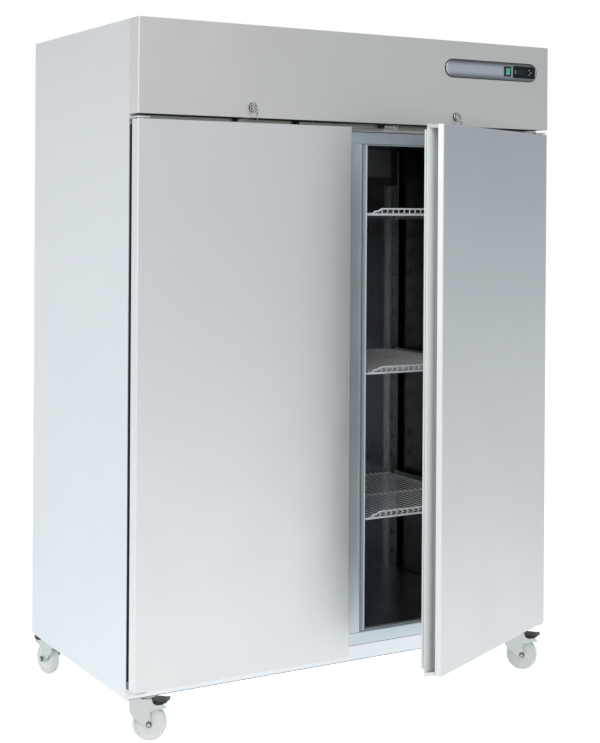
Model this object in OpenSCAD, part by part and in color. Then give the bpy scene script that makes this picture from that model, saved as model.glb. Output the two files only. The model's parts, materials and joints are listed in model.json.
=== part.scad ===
// Two-door upright storage freezer on castors, refrigeration unit on top.
// Frame: origin on the floor under the middle of the front plane of the doors,
// +X to the viewer's right, +Y towards the back, +Z up, millimetres.

/* [Cabinet] */
// Overall width
cab_w = 1480; // [1380:10:1600]
// Depth from the front of the doors to the back
cab_d = 836; // [800:2:900]
// Overall height with the castors
cab_h = 2080; // [2020:10:2160]
// Height of the cabinet's underside over the floor
base_z = 134; // [132:1:150]
// Outer sheet thickness
skin_t = 1; // [0.8:0.1:1.4]
// Insulated side wall, outside to inside
side_wall = 72; // [62:1:84]
// Insulated rear wall, outside to inside
rear_wall = 68; // [60:1:80]
// Plane of the front frame behind the front of the doors
frame_y = 62; // [60:1:68]
// Height of the plinth
plinth_h = 46; // [40:1:50]
// Sheet thickness of the front frame
frame_t = 1.2; // [1:0.1:1.6]
// Height of the door opening's lower edge over the plinth
sill_h = 38; // [34:1:44]
// Height of the frame's top rail over the opening
top_rail_h = 36; // [30:1:40]
// Depth of the frame's folded edge
frame_fold = 26; // [20:1:30]
// Drop from the opening's lower edge to the inside floor
floor_drop = 8; // [6:1:12]
// Rise from the opening's upper edge to the inside ceiling
ceiling_rise = 8; // [6:1:12]
// Insulated ceiling over the inside ceiling
ceiling_wall = 68; // [60:1:80]
// Radius of the liner's rear corners
liner_r = 16; // [8:1:24]

/* [Header] */
// Height of the header panel
header_h = 273; // [250:1:290]
// Radius of the header's front corners
header_r = 3; // [2:0.5:5]
// Depth of the header's top and bottom folds
header_fold = 58; // [50:1:58]
// Height of the slotted header over the top cover
cover_drop = 6; // [4:1:10]

/* [Doors] */
// Gap between the front lips of the two doors
lip_gap = 54; // [46:1:60]
// Gap between the rear flanges of the two doors
flange_gap = 6; // [5:0.5:10]
// Door shell thickness
door_t = 44; // [42:1:48]
// Door's lower edge over the plinth's lower edge
door_rise = 36; // [32:1:40]
// Gap between a door and the header
door_top_gap = 15; // [13:1:18]
// Radius of the door's folded edges
door_r = 3; // [2:0.5:4]
// Height of the caps that close a grip's ends
grip_cap = 11; // [8:1:16]
// Thickness of a grip's front lip
lip_t = 21; // [17:1:21]
// Width of a grip's finger channel
channel_w = 20; // [16:0.5:20]
// Depth of a grip's channel behind the lip
channel_d = 24; // [20:1:30]
// Inset of the gasket from the door's hinge edge
gasket_inset = 14; // [14:1:18]
// Gasket width
gasket_w = 24; // [20:1:26]
// Height of the raised inner pan of a door
pan_rise = 13; // [8:1:14]
// Slope of the raised pan's edge
pan_slope = 10; // [6:1:16]
// Hinge pin's distance from the cabinet's side
pivot_in = 18; // [17:1:19]
// Hinge pin's distance behind the front
pivot_back = 18; // [17:1:19]
// Hinge pin radius
pin_r = 5; // [4:0.5:6]
// Depth of a hinge pin in its door
pin_len = 22; // [18:1:30]
// Angle by which the right door stands open
ajar = 25.5; // [0:0.5:80]

/* [Shelves and racks] */
// Underside of the bottom shelf, as a share of the inside height
bottom_shelf_share = 0.2254; // [0.18:0.0001:0.28]
// Underside of the middle shelf, as a share of the inside height
middle_shelf_share = 0.5227; // [0.45:0.0001:0.58]
// Underside of the top shelf, as a share of the inside height
top_shelf_share = 0.8484; // [0.78:0.0001:0.86]
// Gap between a shelf and the inside's rear wall
shelf_back = 23; // [16:1:60]
// Shelf frame rod
rod_d = 7; // [6:0.5:8]
// Shelf cross wire
wire_d = 4; // [3:0.5:5]
// Spacing of the front-to-back wires
wire_pitch = 21.2; // [18:0.1:30]
// Height of the shelf's raised front lip
lip_h = 18.5; // [16:0.5:28]
// Width of a rack post
post_w = 30; // [26:1:34]
// Depth of a rack post
post_d = 20; // [16:1:24]
// Sheet thickness of posts and runners
rack_t = 1.5; // [1.2:0.1:2]
// Distance of the outer posts from the side wall
post_in = 35; // [30:1:40]
// Distance of the inner posts from the middle
post_mid = 68; // [66:1:76]
// Lowest slot of the rack posts over the inside floor
slot_up = 51; // [40:1:90]
// Slot pitch of the rack posts
slot_pitch = 72; // [60:1:80]
// Number of slots in the lower length of a post
lower_slots = 10; // [8:1:12]
// Extra distance between slots where the two lengths of a post meet
post_joint = 24; // [10:1:40]
// Slot height
slot_h = 28; // [24:1:32]
// Slot width
slot_w = 14; // [10:1:18]
// Width of a runner's ledge
ledge_w = 32; // [26:1:36]

/* [Controls] */
// Centre of the control bezel from the middle
bezel_x = 505.5; // [480:0.5:520]
// Bezel length
bezel_w = 367; // [340:1:380]
// Bezel height
bezel_h = 56; // [50:1:64]
// Height of the bezel's centre over the header's lower edge
bezel_up = 186; // [120:1:200]
// Controller front width
panel_w = 89; // [80:1:92]
// Controller front height
panel_h = 39; // [32:1:40]
// Spacing of the controller's buttons
button_step = 7.5; // [7:0.1:9]
// Rocker frame width
switch_w = 27; // [24:1:30]
// Rocker frame height
switch_h = 32; // [28:1:36]
// Button radius
button_r = 3.2; // [2.5:0.1:4]

/* [Locks] */
// Left lock from the middle
lock_x_left = -373.5; // [-420:0.5:-320]
// Right lock from the middle
lock_x_right = 366; // [320:0.5:420]
// Height of the locks over the header's lower edge
lock_up = 30; // [28:1:32]
// Lock cylinder radius
lock_r = 7; // [6:0.5:8]
// Lock cam length
cam_len = 56; // [54:1:58]

/* [Castors] */
// Wheel radius
wheel_r = 50; // [46:1:52]
// Wheel width
wheel_w = 32; // [26:1:36]
// Trail from swivel to axle
trail = 38; // [32:1:42]
// Swivel distance from the cabinet's side
swivel_in = 55; // [50:1:90]
// Front swivel distance behind the front
swivel_front = 110; // [100:1:140]
// Rear swivel distance from the back
swivel_rear = 60; // [55:1:140]
// Axle radius
axle_r = 5; // [4:0.5:6]
// Width of the brake pedals
pedal_w = 54; // [50:1:60]

/* [Refrigeration] */
// Compressor shell radius
shell_r = 84; // [70:1:95]
// Compressor shell height
shell_h = 176; // [150:1:185]
// Condenser width
cond_w = 340; // [280:5:400]
// Condenser height
cond_h = 210; // [180:5:225]
// Condenser fan radius
cond_fan_r = 88; // [70:1:95]
// Evaporator cover width
evap_w = 982; // [800:2:1100]
// Evaporator cover depth
evap_d = 208; // [190:2:260]
// Evaporator cover height
evap_h = 98; // [90:1:110]
// Evaporator fan radius
evap_fan_r = 72; // [60:1:78]

/* [Hidden] */

// Clearances
seat = 0.3;      // between pieces that only rest near each other
run = 0.05;      // radial, of a shaft in its bore
free = 0.4;      // round a piece that swings or slides
seam = 1.5;      // open joint between two sheets

// Planes of the cabinet
half_w = cab_w / 2;
plinth_top = base_z + plinth_h;
sill_z = plinth_top + sill_h;
header_z = cab_h - header_h;
door_z0 = base_z + door_rise;
door_z1 = header_z - door_top_gap;
frame_top = header_z - seat;
rail_z = header_z - 25;
open_z1 = rail_z - top_rail_h;
open_x1 = half_w - side_wall;
floor_z = sill_z - floor_drop;
ceiling_z = open_z1 + ceiling_rise;
deck_z = ceiling_z + ceiling_wall;
liner_y0 = frame_y + frame_fold;
liner_y1 = cab_d - rear_wall;
liner_t = 1;

// Outline helpers: all curves are arcs worked out here
function unit(v) = v / norm(v);
function turned(v, a) = [v[0] * cos(a) - v[1] * sin(a), v[0] * sin(a) + v[1] * cos(a)];
function side_of(p, q) = turned(unit(q - p), 90);
function backwards(p) = [for (i = [len(p) - 1:-1:0]) p[i]];

// Points of one corner at b, between a and c, rounded with radius r
function corner(a, b, c, r, n) = r == 0 ? [b] :
  let (u = unit(a - b), v = unit(c - b), half = acos(u * v) / 2,
       centre = b + unit(u + v) * r / sin(half), start = b + u * r / tan(half) - centre,
       way = u[0] * v[1] - u[1] * v[0] > 0 ? -1 : 1)
  [for (i = [0:n]) centre + turned(start, way * (180 - 2 * half) * i / n)];

// An open path with a radius for each inner corner
function round_path(p, r, n = 4) = concat([p[0]],
  [for (i = [1:len(p) - 2]) each corner(p[i - 1], p[i], p[i + 1], r[i - 1], n)], [p[len(p) - 1]]);

// A closed outline with one radius for every corner
function round_loop(p, r, n = 4) = let (m = len(p))
  [for (i = [0:m - 1]) each corner(p[(i + m - 1) % m], p[i], p[(i + 1) % m], r, n)];

// The same path moved sideways by t, with mitred corners
function beside(p, t) = [for (i = [0:len(p) - 1])
  let (a = side_of(p[max(i - 1, 0)], p[max(i, 1)]),
       b = side_of(p[min(i, len(p) - 2)], p[min(i + 1, len(p) - 1)]), m = unit(a + b))
  p[i] + m * t / (m * b)];

function box_loop(x0, y0, x1, y1) = [[x0, y0], [x1, y0], [x1, y1], [x0, y1]];

// A folded sheet seen from its edge
module sheet(path, t) { polygon(concat(path, backwards(beside(path, t)))); }

// A block between two corners
module block(a, b) { translate(a) cube(b - a); }

// An outline in the YZ plane drawn out along X, and one in XZ along Y
module along_x(x0, x1) { translate([x0, 0, 0]) rotate([90, 0, 90]) linear_extrude(height = x1 - x0) children(); }
module along_y(y0, y1) { translate([0, y1, 0]) rotate([90, 0, 0]) linear_extrude(height = y1 - y0) children(); }

// A rod of many flats between two points on one axis
module rod(a, b, d, sides) {
  v = b - a;
  translate(a) rotate([0, acos(v[2] / norm(v)), atan2(v[1], v[0])]) rotate([0, 0, 180 / sides])
    cylinder(h = norm(v), r = d / 2 / cos(180 / sides), $fn = sides);
}

// Cabinet shell

// One side skin with its rear fold, drawn for the right side
module side_panel() {
  fold = 18;
  path = round_path([[half_w, frame_y + seat], [half_w, cab_d], [half_w - fold, cab_d]], [2]);
  translate([0, 0, base_z]) linear_extrude(height = cab_h - base_z) sheet(path, skin_t);
}
module right_side_panel() { color("gainsboro") side_panel(); }
module left_side_panel() { color("gainsboro") mirror([1, 0, 0]) side_panel(); }

inner_x = half_w - skin_t;           // between the side skins
rear_x = inner_x - 1.2;              // clear of the bend in their rear folds
rear_y = cab_d - skin_t;             // in front of their rear folds

// Rear skin that folds forward into the deck under the refrigeration unit
module rear_and_deck_panel() {
  color("lightgrey") along_x(-rear_x, rear_x)
    sheet([[frame_y + frame_t, deck_z], [rear_y, deck_z], [rear_y, base_z + frame_t]], -skin_t);
}

// Bottom pan whose front fold is the plinth
module base_pan() {
  color("whitesmoke") along_x(-inner_x, inner_x)
    sheet([[frame_y, plinth_top], [frame_y, base_z], [rear_y, base_z]], frame_t);
}

liner_path = round_path([[-open_x1, liner_y0], [-open_x1, liner_y1], [open_x1, liner_y1],
  [open_x1, liner_y0]], [liner_r, liner_r], 6);

// The liner's plan; grow 0 is the inside, liner_t the outside
module liner_plan(grow, front) {
  p = beside(liner_path, grow);
  polygon(concat([[p[0][0], front]], p, [[p[len(p) - 1][0], front]]));
}

module inner_liner() {
  color("slategray") difference() {
    translate([0, 0, floor_z - liner_t]) linear_extrude(height = ceiling_z - floor_z + 2 * liner_t)
      liner_plan(liner_t, liner_y0);
    translate([0, 0, floor_z]) linear_extrude(height = ceiling_z - floor_z) liner_plan(0, liner_y0 - 1);
  }
}

// Foam between the skins and the liner
module foam_walls() {
  fold_x = open_x1 + frame_t;
  color("khaki") difference() {
    block([-inner_x, frame_y + frame_t, base_z + frame_t], [inner_x, rear_y - skin_t, deck_z - skin_t]);
    translate([0, 0, floor_z - liner_t]) linear_extrude(height = ceiling_z - floor_z + 2 * liner_t)
      liner_plan(liner_t, liner_y0);
    block([-fold_x, 0, sill_z - frame_t], [fold_x, liner_y0, open_z1 + frame_t]);
    block([-open_x1, 0, floor_z], [open_x1, liner_y0 + 1, ceiling_z]);
  }
}

// Front frame round the door opening, with its edges folded in
module front_frame() {
  fold_x = open_x1 + frame_t;
  line = 1.6;
  color("silver") difference() {
    union() {
      block([-inner_x, frame_y, plinth_top + seam], [inner_x, frame_y + frame_t, frame_top]);
      block([-fold_x, frame_y, sill_z - frame_t], [fold_x, liner_y0, open_z1 + frame_t]);
    }
    block([-open_x1, 0, sill_z], [open_x1, liner_y0 + 1, open_z1]);
    block([-half_w, 0, rail_z], [half_w, frame_y + frame_t / 2, rail_z + line]);
  }
}

// Centre post between the two openings, with a groove near each edge
mullion_w = 102;
mullion_d = 38;
module mullion() {
  edge = mullion_w / 2;
  groove = 1.5;
  half = round_path([[0, frame_y], [edge, frame_y], [edge, frame_y + mullion_d], [0, frame_y + mullion_d]],
    [2.5, 0]);
  color("slategray") difference() {
    translate([0, 0, sill_z]) linear_extrude(height = open_z1 - sill_z) difference() {
      polygon(concat(half, [for (p = backwards(half)) if (p[0] > 0) [-p[0], p[1]]]));
      for (s = [-1, 1]) translate([s * (edge - 8) - groove / 2, frame_y - 1]) square([groove, 2]);
    }
    // Open joints over the sill and under the top rail
    for (z = [sill_z - 1, open_z1 - seam]) block([-edge - 1, frame_y - 1, z], [edge + 1, frame_y + 4, z + 1 + seam]);
  }
}

// Plastic strips between the frame and the liner, a ring in each opening
strip_mid = 19;
strip_edge = 4;
strip_back = 8;
module breaker_strips() {
  x0 = mullion_w / 2;
  color("lightslategray") for (s = [0, 1]) mirror([s, 0, 0])
    along_y(frame_y + strip_back, liner_y0) difference() {
      translate([x0, sill_z]) square([open_x1 - x0, open_z1 - sill_z]);
      translate([x0 + strip_mid, sill_z + strip_edge])
        square([open_x1 - x0 - strip_mid - strip_edge, open_z1 - sill_z - 2 * strip_edge]);
    }
}

// Header
lock_z = header_z + lock_up;
lock_body_r = lock_r + 2.5;
cam_y = 31;
cam_t = 3;
cam_w = 16;
key_slot_h = 7;

cam_near = cam_w / 2 + 4;
cam_far = cam_len - 4;

// Space that a lock cam sweeps, in the header's lower fold and in a door's top
module cam_space(span, z0, z1) {
  block([span[0], cam_y - 3, z0], [span[1], cam_y + cam_t + 3, z1]);
}

module header_panel() {
  t = skin_t;
  plan = round_path([[half_w, frame_y], [half_w, 0], [-half_w, 0], [-half_w, frame_y]],
    [header_r, header_r]);
  color("silver") difference() {
    union() {
      translate([0, 0, header_z]) linear_extrude(height = header_h) sheet(plan, -t);
      for (z = [header_z, cab_h - t]) translate([0, 0, z]) linear_extrude(height = t)
        polygon(concat([for (p = beside(plan, -t / 2)) [p[0], min(p[1], header_fold)]]));
    }
    for (x = [lock_x_left, lock_x_right]) {
      cam_space([x - cam_near, x + cam_far], header_z - 1, header_z + t + 1);
      translate([x, -1, lock_z]) rotate([-90, 0, 0]) cylinder(h = 5, r = lock_body_r + seat, $fn = 48);
    }
    along_y(-1, 3) translate([panel_x - panel_w / 2 + 4, bezel_z - panel_h / 2 + 3])
      square([panel_w - 8, panel_h - 6]);
    along_y(-1, 3) translate([switch_x - switch_w / 2 + 3, bezel_z - switch_h / 2 + 3])
      square([switch_w - 6, switch_h - 6]);
  }
}

// Cover over the refrigeration unit, folded down at the back, both with air slots
module top_cover() {
  z1 = cab_h - cover_drop;
  y0 = header_fold + seat;
  slot_l = 150;
  slot = 7;
  pitch = 18;
  color("silver") difference() {
    along_x(-rear_x, rear_x) sheet([[y0, z1], [rear_y, z1], [rear_y, deck_z + seat]], -skin_t);
    for (col = [-3:3], row = [0:7]) {
      block([col * 190 - slot_l / 2, cab_d / 2 + row * pitch, z1 - 5],
            [col * 190 + slot_l / 2, cab_d / 2 + row * pitch + slot, z1 + 5]);
      block([col * 190 - slot_l / 2, rear_y - 5, deck_z + 50 + row * pitch],
            [col * 190 + slot_l / 2, rear_y + 5, deck_z + 50 + row * pitch + slot]);
    }
  }
}

// Refrigeration unit on the deck
comp_x = -cab_w * 0.257;
comp_y = cab_d - 366;
module compressor() {
  foot = 8;
  dome = concat([[0, 0]], round_path([[shell_r - 12, 0], [shell_r, 30], [shell_r, shell_h - 50],
    [shell_r - 28, shell_h - 8], [0, shell_h]], [10, 8, 40], 5));
  color("dimgray") translate([comp_x, comp_y, deck_z]) {
    translate([0, 0, foot]) rotate_extrude($fn = 64) polygon(dome);
    translate([0, 0, foot - 3]) block([-100, -70, 0], [100, 70, 6]);
    for (x = [-86, 86], y = [-56, 56]) translate([x, y, 0]) cylinder(h = foot, r = 11, $fn = 32);
    translate([shell_r - 6, -30, 60]) cube([36, 60, 70]);
    translate([-shell_r + 20, 0, foot + shell_h - 40]) rod([0, 0, 0], [0, 0, 60], 10, 12);
  }
}

cond_x = cab_w * 0.162;
cond_d = 80;
cond_y = cab_d - 236 - cond_d;
fan_gap = 4;
shroud_d = 45;
cond_foot = 8;
cond_fan_y = cond_y - shroud_d + 5;
cond_fan_z = deck_z + cond_foot + cond_h / 2;
module condenser() {
  fins = 34;
  pitch = (cond_w - 8) / fins;
  z0 = deck_z + cond_foot;
  bar = 7;
  y1 = cond_y - shroud_d;
  comb = concat([[0, 0]], [for (i = [0:fins - 1]) each [[i * pitch + 4, 0], [i * pitch + 4, cond_d / 3],
    [i * pitch + 4 + pitch / 2, cond_d / 3], [i * pitch + 4 + pitch / 2, 0]]],
    [[cond_w, 0], [cond_w, cond_d], [0, cond_d]]);
  color("darkgray") {
    translate([cond_x - cond_w / 2, cond_y, z0]) linear_extrude(height = cond_h)
      translate([0, cond_d]) mirror([0, 1]) polygon(comb);
    for (s = [-1, 1]) translate([cond_x + s * (cond_w / 2 + 1), 0, 0])
      block([-1, y1, deck_z], [1, cond_y + cond_d, z0 + cond_h]);
    difference() {
      block([cond_x - cond_w / 2, y1, z0], [cond_x + cond_w / 2, cond_y, z0 + cond_h]);
      translate([cond_x, y1 - 5, cond_fan_z]) rotate([-90, 0, 0])
        cylinder(h = shroud_d + 15, r = cond_fan_r + fan_gap, $fn = 64);
      block([cond_x - cond_w / 2 - 1, y1 + 2, z0 - 1], [cond_x + cond_w / 2 + 1, cond_y - 2, z0 + 10]);
    }
    difference() {
      block([cond_x - cond_w / 2, y1 - bar, cond_fan_z - 8], [cond_x + cond_w / 2, y1, cond_fan_z + 8]);
      translate([cond_x, y1 - 15, cond_fan_z]) rotate([-90, 0, 0]) cylinder(h = 20, r = 6 + run, $fn = 32);
    }
  }
}

// A fan on a shaft along +Z, blades as bent plates between hub and tip
module fan(r, hub_r, depth, blades, shaft_r, shaft_l) {
  cylinder(h = depth, r = hub_r, $fn = 40);
  translate([0, 0, -shaft_l]) cylinder(h = shaft_l, r = shaft_r, $fn = 32);
  for (i = [0:blades - 1]) rotate([0, 0, 360 * i / blades]) translate([hub_r - 1.5, 0, depth / 2])
    rotate([32, 0, 0]) linear_extrude(height = 1.6, center = true)
      polygon(concat([[0, -depth * 0.5]], [for (a = [-30:10:30]) [r - hub_r - r * (1 - cos(a)), r * 0.62 * sin(a)]],
        [[0, depth * 0.5]]));
}

module condenser_fan() {
  color("black") translate([cond_x, cond_fan_y, cond_fan_z]) rotate([-90, 0, 0])
    fan(cond_fan_r, 26, 28, 5, 6, 14);
}

// Electrical box with its lid and three cable glands
box_w = 190;
box_d = 150;
box_h = 96;
box_t = 2;
box_x = half_w - 120 - box_w;
box_y = header_fold + 92;
module electrical_box() {
  gland = 9;
  x1 = box_x + box_w;
  y1 = box_y + box_d;
  color("gray") {
    difference() {
      block([box_x, box_y, deck_z], [x1, y1, deck_z + box_h]);
      block([box_x + box_t, box_y + box_t, deck_z + box_t], [x1 - box_t, y1 - box_t, deck_z + box_h + 4]);
    }
    block([box_x - box_t, box_y - box_t, deck_z + box_h], [x1 + box_t, y1 + box_t, deck_z + box_h + 3]);
    for (i = [1:3]) translate([box_x + i * box_w / 4, y1, deck_z + box_h * 0.4]) rotate([-90, 0, 0])
      cylinder(h = 14, r = gland, $fn = 32);
  }
}

// Evaporator under the inside ceiling
evap_y0 = liner_y1 - evap_d;
evap_z0 = ceiling_z - evap_h;
evap_fan_x = 250;
evap_fan_y = evap_y0 + evap_d / 2;

module evaporator() {
  fins = 60;
  w = 2 * evap_fan_x - 2 * evap_fan_r - 60;
  pitch = w / fins;
  d = evap_d - 50;
  h = evap_h - 40;
  comb = concat([[0, 0]], [for (i = [0:fins - 1]) each [[(i + 0.25) * pitch, 0], [(i + 0.25) * pitch, d - 20],
    [(i + 0.75) * pitch, d - 20], [(i + 0.75) * pitch, 0]]], [[w, 0], [w, d], [0, d]]);
  color("silver") {
    translate([-w / 2, evap_y0 + 30, ceiling_z - h]) linear_extrude(height = h) polygon(comb);
    for (s = [-1, 1]) block([s * (w / 2 + 1) - 1, evap_y0 + 26, ceiling_z - h - 8],
      [s * (w / 2 + 1) + 1, evap_y0 + evap_d - 16, ceiling_z]);
  }
}

// Sheet cover with two round air outlets and an inlet grille
module evaporator_cover() {
  t = 1.2;
  color("gray") {
    difference() {
      block([-evap_w / 2, evap_y0, evap_z0], [evap_w / 2, liner_y1, ceiling_z]);
      block([-evap_w / 2 + t, evap_y0 + t, evap_z0 + t], [evap_w / 2 - t, liner_y1 + 1, ceiling_z + 1]);
      for (s = [-1, 1]) translate([s * evap_fan_x, evap_fan_y, evap_z0 - 1])
        cylinder(h = 4, r = evap_fan_r + fan_gap, $fn = 64);
      for (s = [-1, 0, 1], i = [0:6]) block([s * 180 - 70, evap_y0 - 1, evap_z0 + 16 + i * 10],
        [s * 180 + 70, evap_y0 + 4, evap_z0 + 20 + i * 10]);
      for (s = [-1, 1], i = [0:6]) block([s * 415 - 40, evap_y0 - 1, evap_z0 + 16 + i * 10],
        [s * 415 + 40, evap_y0 + 4, evap_z0 + 20 + i * 10]);
    }
    for (s = [-1, 1]) translate([s * evap_fan_x, evap_fan_y, evap_z0 + t]) fan_guard();
  }
}

// Bearing spider over a round outlet
module fan_guard() {
  r = evap_fan_r + fan_gap;
  difference() {
    union() {
      for (a = [0, 60, 120]) rotate([0, 0, a]) translate([-r - 3, -1.5, 0]) cube([2 * r + 6, 3, 3]);
      cylinder(h = 6, r = 16, $fn = 40);
    }
    translate([0, 0, -1]) cylinder(h = 9, r = 5 + run, $fn = 32);
  }
}

module evaporator_fan(side) {
  color("black") translate([side * evap_fan_x, evap_fan_y, evap_z0 + 1.2 + 6 + free])
    fan(evap_fan_r, 22, 24, 5, 5, 6);
}
module left_evaporator_fan() { evaporator_fan(-1); }
module right_evaporator_fan() { evaporator_fan(1); }

// Racks and shelves
post_x = [post_mid, open_x1 - post_in];
front_face_y = liner_y0 + post_d;
rear_face_y = liner_y1 - post_d;
slot_z0 = floor_z + slot_up;
slot_n = floor((ceiling_z - evap_h - slot_z0 - post_joint - slot_h - 20) / slot_pitch);
// Lower edge of every slot, from the lowest
slot_z = [for (i = [0:slot_n]) slot_z0 + i * slot_pitch + (i < lower_slots ? 0 : post_joint)];
shelf_up = [for (share = [bottom_shelf_share, middle_shelf_share, top_shelf_share])
  round(share * (ceiling_z - floor_z))];
// Lower edge of the slot that a runner at height z hooks into
function slot_at(z) = let (miss = [for (s = slot_z) abs(s + 16 - z)])
  [for (i = [0:slot_n]) if (miss[i] == min(miss)) slot_z[i]][0];

// A channel post that faces +Y, standing on the inside floor
module post() {
  top = slot_z[slot_n] + slot_h + 20;
  along_y(-rack_t, 0) difference() {
    translate([-post_w / 2, floor_z]) square([post_w, top - floor_z]);
    for (z = slot_z) translate([-slot_w / 2, z]) square([slot_w, slot_h]);
  }
  for (s = [0, 1]) mirror([s, 0, 0])
    block([post_w / 2 - rack_t, -post_d, floor_z], [post_w / 2, -rack_t / 2, top]);
}

module rack_posts() {
  reach = post_in - post_w / 2;
  color("lightsteelblue") for (s = [0, 1]) mirror([s, 0, 0]) for (x = post_x) {
    translate([x, front_face_y, 0]) post();
    translate([x, rear_face_y, 0]) mirror([0, 1, 0]) post();
  }
  color("lightsteelblue") for (s = [0, 1]) mirror([s, 0, 0])
    for (z = [floor_z + 120, (floor_z + ceiling_z) / 2, ceiling_z - evap_h - 120])
      translate([open_x1 - reach, front_face_y - post_d, z]) cube([reach, 14, 30]);
}

// A runner with a ledge towards +X and a hook at each end, ledge top at z
module runner(z) {
  grip = slot_at(z);
  low = min(z - 14, grip);
  high = max(z + 12, grip + slot_h - 4);
  y0 = front_face_y + seat;
  y1 = rear_face_y - seat;
  hook = [[0, 0], [rack_t + 2 * seat, 0], [rack_t + 2 * seat, -6], [rack_t + 2 * seat + 5, -6],
    [rack_t + 2 * seat + 5, slot_h - 8], [0, slot_h - 8]];
  along_x(-rack_t / 2, rack_t / 2) {
    translate([y0, low]) square([y1 - y0, high - low]);
    translate([y1, grip + seat]) polygon(hook);
    translate([y0, grip + seat]) mirror([1, 0]) polygon(hook);
  }
  block([0, y0, z - rack_t], [ledge_w, y1, z]);
}

module shelf_runners() {
  color("silver") for (s = [0, 1]) mirror([s, 0, 0]) for (up = shelf_up) {
    translate([post_x[0], 0, 0]) runner(floor_z + up);
    translate([post_x[1], 0, 0]) mirror([1, 0, 0]) runner(floor_z + up);
  }
}

shelf_x0 = post_x[0] + post_w / 2 + 3.5;
shelf_x1 = post_x[1] - post_w / 2 - 3.5;
shelf_y0 = liner_y0 + 7;
shelf_y1 = liner_y1 - shelf_back;

// A coated wire shelf with a raised lip along its front, for the right bay
module shelf(up) {
  z = floor_z + up + rod_d / 2;
  x0 = shelf_x0 + rod_d / 2;
  x1 = shelf_x1 - rod_d / 2;
  y0 = shelf_y0 + rod_d / 2;
  y1 = shelf_y1 - rod_d / 2;
  margin = 15;
  foot = 26;
  lip_in = 58;
  n = floor((x1 - x0 - 2 * margin) / wire_pitch);
  first = (x0 + x1 - n * wire_pitch) / 2;
  wire_z = z + rod_d / 2 + wire_d / 2 - 1;
  for (x = [x0, x1]) rod([x, y0 - rod_d / 2, z], [x, y1 + rod_d / 2, z], rod_d, 8);
  for (y = [y0, (y0 + y1) / 2, y1]) rod([x0, y, z], [x1, y, z], rod_d, 8);
  for (i = [0:n]) rod([first + i * wire_pitch, y0, wire_z], [first + i * wire_pitch, y1, wire_z], wire_d, 6);
  // Top wire of the lip, sloping down to the frame at both ends
  rod([x0 + lip_in, y0, z + lip_h], [x1 - lip_in, y0, z + lip_h], rod_d - 1, 8);
  rod([x0 + foot, y0, z], [x0 + lip_in + 1.5, y0, z + lip_h + 1], rod_d - 1.6, 8);
  rod([x1 - foot, y0, z], [x1 - lip_in - 1.5, y0, z + lip_h + 1], rod_d - 1.6, 8);
  for (i = [3:n - 3]) rod([first + i * wire_pitch, y0, z], [first + i * wire_pitch, y0, z + lip_h], wire_d, 6);
}
module right_shelf(i) { color("white") shelf(shelf_up[i]); }
module left_shelf(i) { color("white") mirror([1, 0, 0]) shelf(shelf_up[i]); }
module left_bottom_shelf() { left_shelf(0); }
module left_middle_shelf() { left_shelf(1); }
module left_top_shelf() { left_shelf(2); }
module right_bottom_shelf() { right_shelf(0); }
module right_middle_shelf() { right_shelf(1); }
module right_top_shelf() { right_shelf(2); }

// Doors, drawn closed for the right side
lip_x = lip_gap / 2;
flange_x = flange_gap / 2;
flange_t = door_t - lip_t - channel_w;
pivot_x = half_w - pivot_in;
pivot_y = pivot_back;
bush_r = pin_r + 4;
seal_x0 = lip_x - 8;
seal_x1 = half_w - gasket_inset;
seal_z0 = plinth_top + 6;
seal_z1 = rail_z - 6;

// Skin outline from the gasket channel round the hinge edge and the front to the grip's flange
channel_r = channel_w / 2;
function channel_points(r) = [for (a = [-90:15:90])
  [lip_x + channel_d + r * cos(a), lip_t + channel_r + r * sin(a)]];
channel_end = channel_points(channel_r);
door_path = concat(
  round_path(concat([[seal_x1 - gasket_w / 2, door_t], [half_w, door_t], [half_w, 0], [lip_x, 0],
    [lip_x, lip_t]], [channel_end[0]]), [door_r, door_r, door_r, door_r - 0.5]),
  [for (i = [1:len(channel_end) - 2]) channel_end[i]],
  round_path([channel_end[len(channel_end) - 1], [flange_x, door_t - flange_t], [flange_x, door_t],
    [seal_x0 + gasket_w / 2, door_t]], [flange_t / 2 - 0.1, flange_t / 2 - 0.1]));

module swung(angle) { translate([pivot_x, pivot_y, 0]) rotate([0, 0, angle]) translate([-pivot_x, -pivot_y, 0]) children(); }
module bush_bores(r) {
  translate([pivot_x, pivot_y, door_z0 - 5]) cylinder(h = pin_len + 15, r = r, $fn = 48);
  translate([pivot_x, pivot_y, door_z1 - pin_len - 10]) cylinder(h = pin_len + 15, r = r, $fn = 48);
}

// Folded outer skin with the full-height grip, closed at both ends
module door_skin(cam_span) {
  t = skin_t;
  difference() {
    union() {
      translate([0, 0, door_z0]) linear_extrude(height = door_z1 - door_z0) sheet(door_path, -t);
      for (z = [door_z0, door_z1 - t]) translate([0, 0, z]) linear_extrude(height = t) polygon(door_path);
      for (z = [door_z0, door_z1 - grip_cap]) translate([0, 0, z]) linear_extrude(height = grip_cap)
        polygon(concat([[lip_x + door_r + 1, lip_t - t / 2]], channel_points(channel_r + t / 2),
          [[flange_x + flange_t / 2 + 1, door_t - flange_t + t / 2]]));
    }
    bush_bores(bush_r + seat / 3);
    cam_space(cam_span, door_z1 - 16, door_z1 + 1);
  }
}

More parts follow.
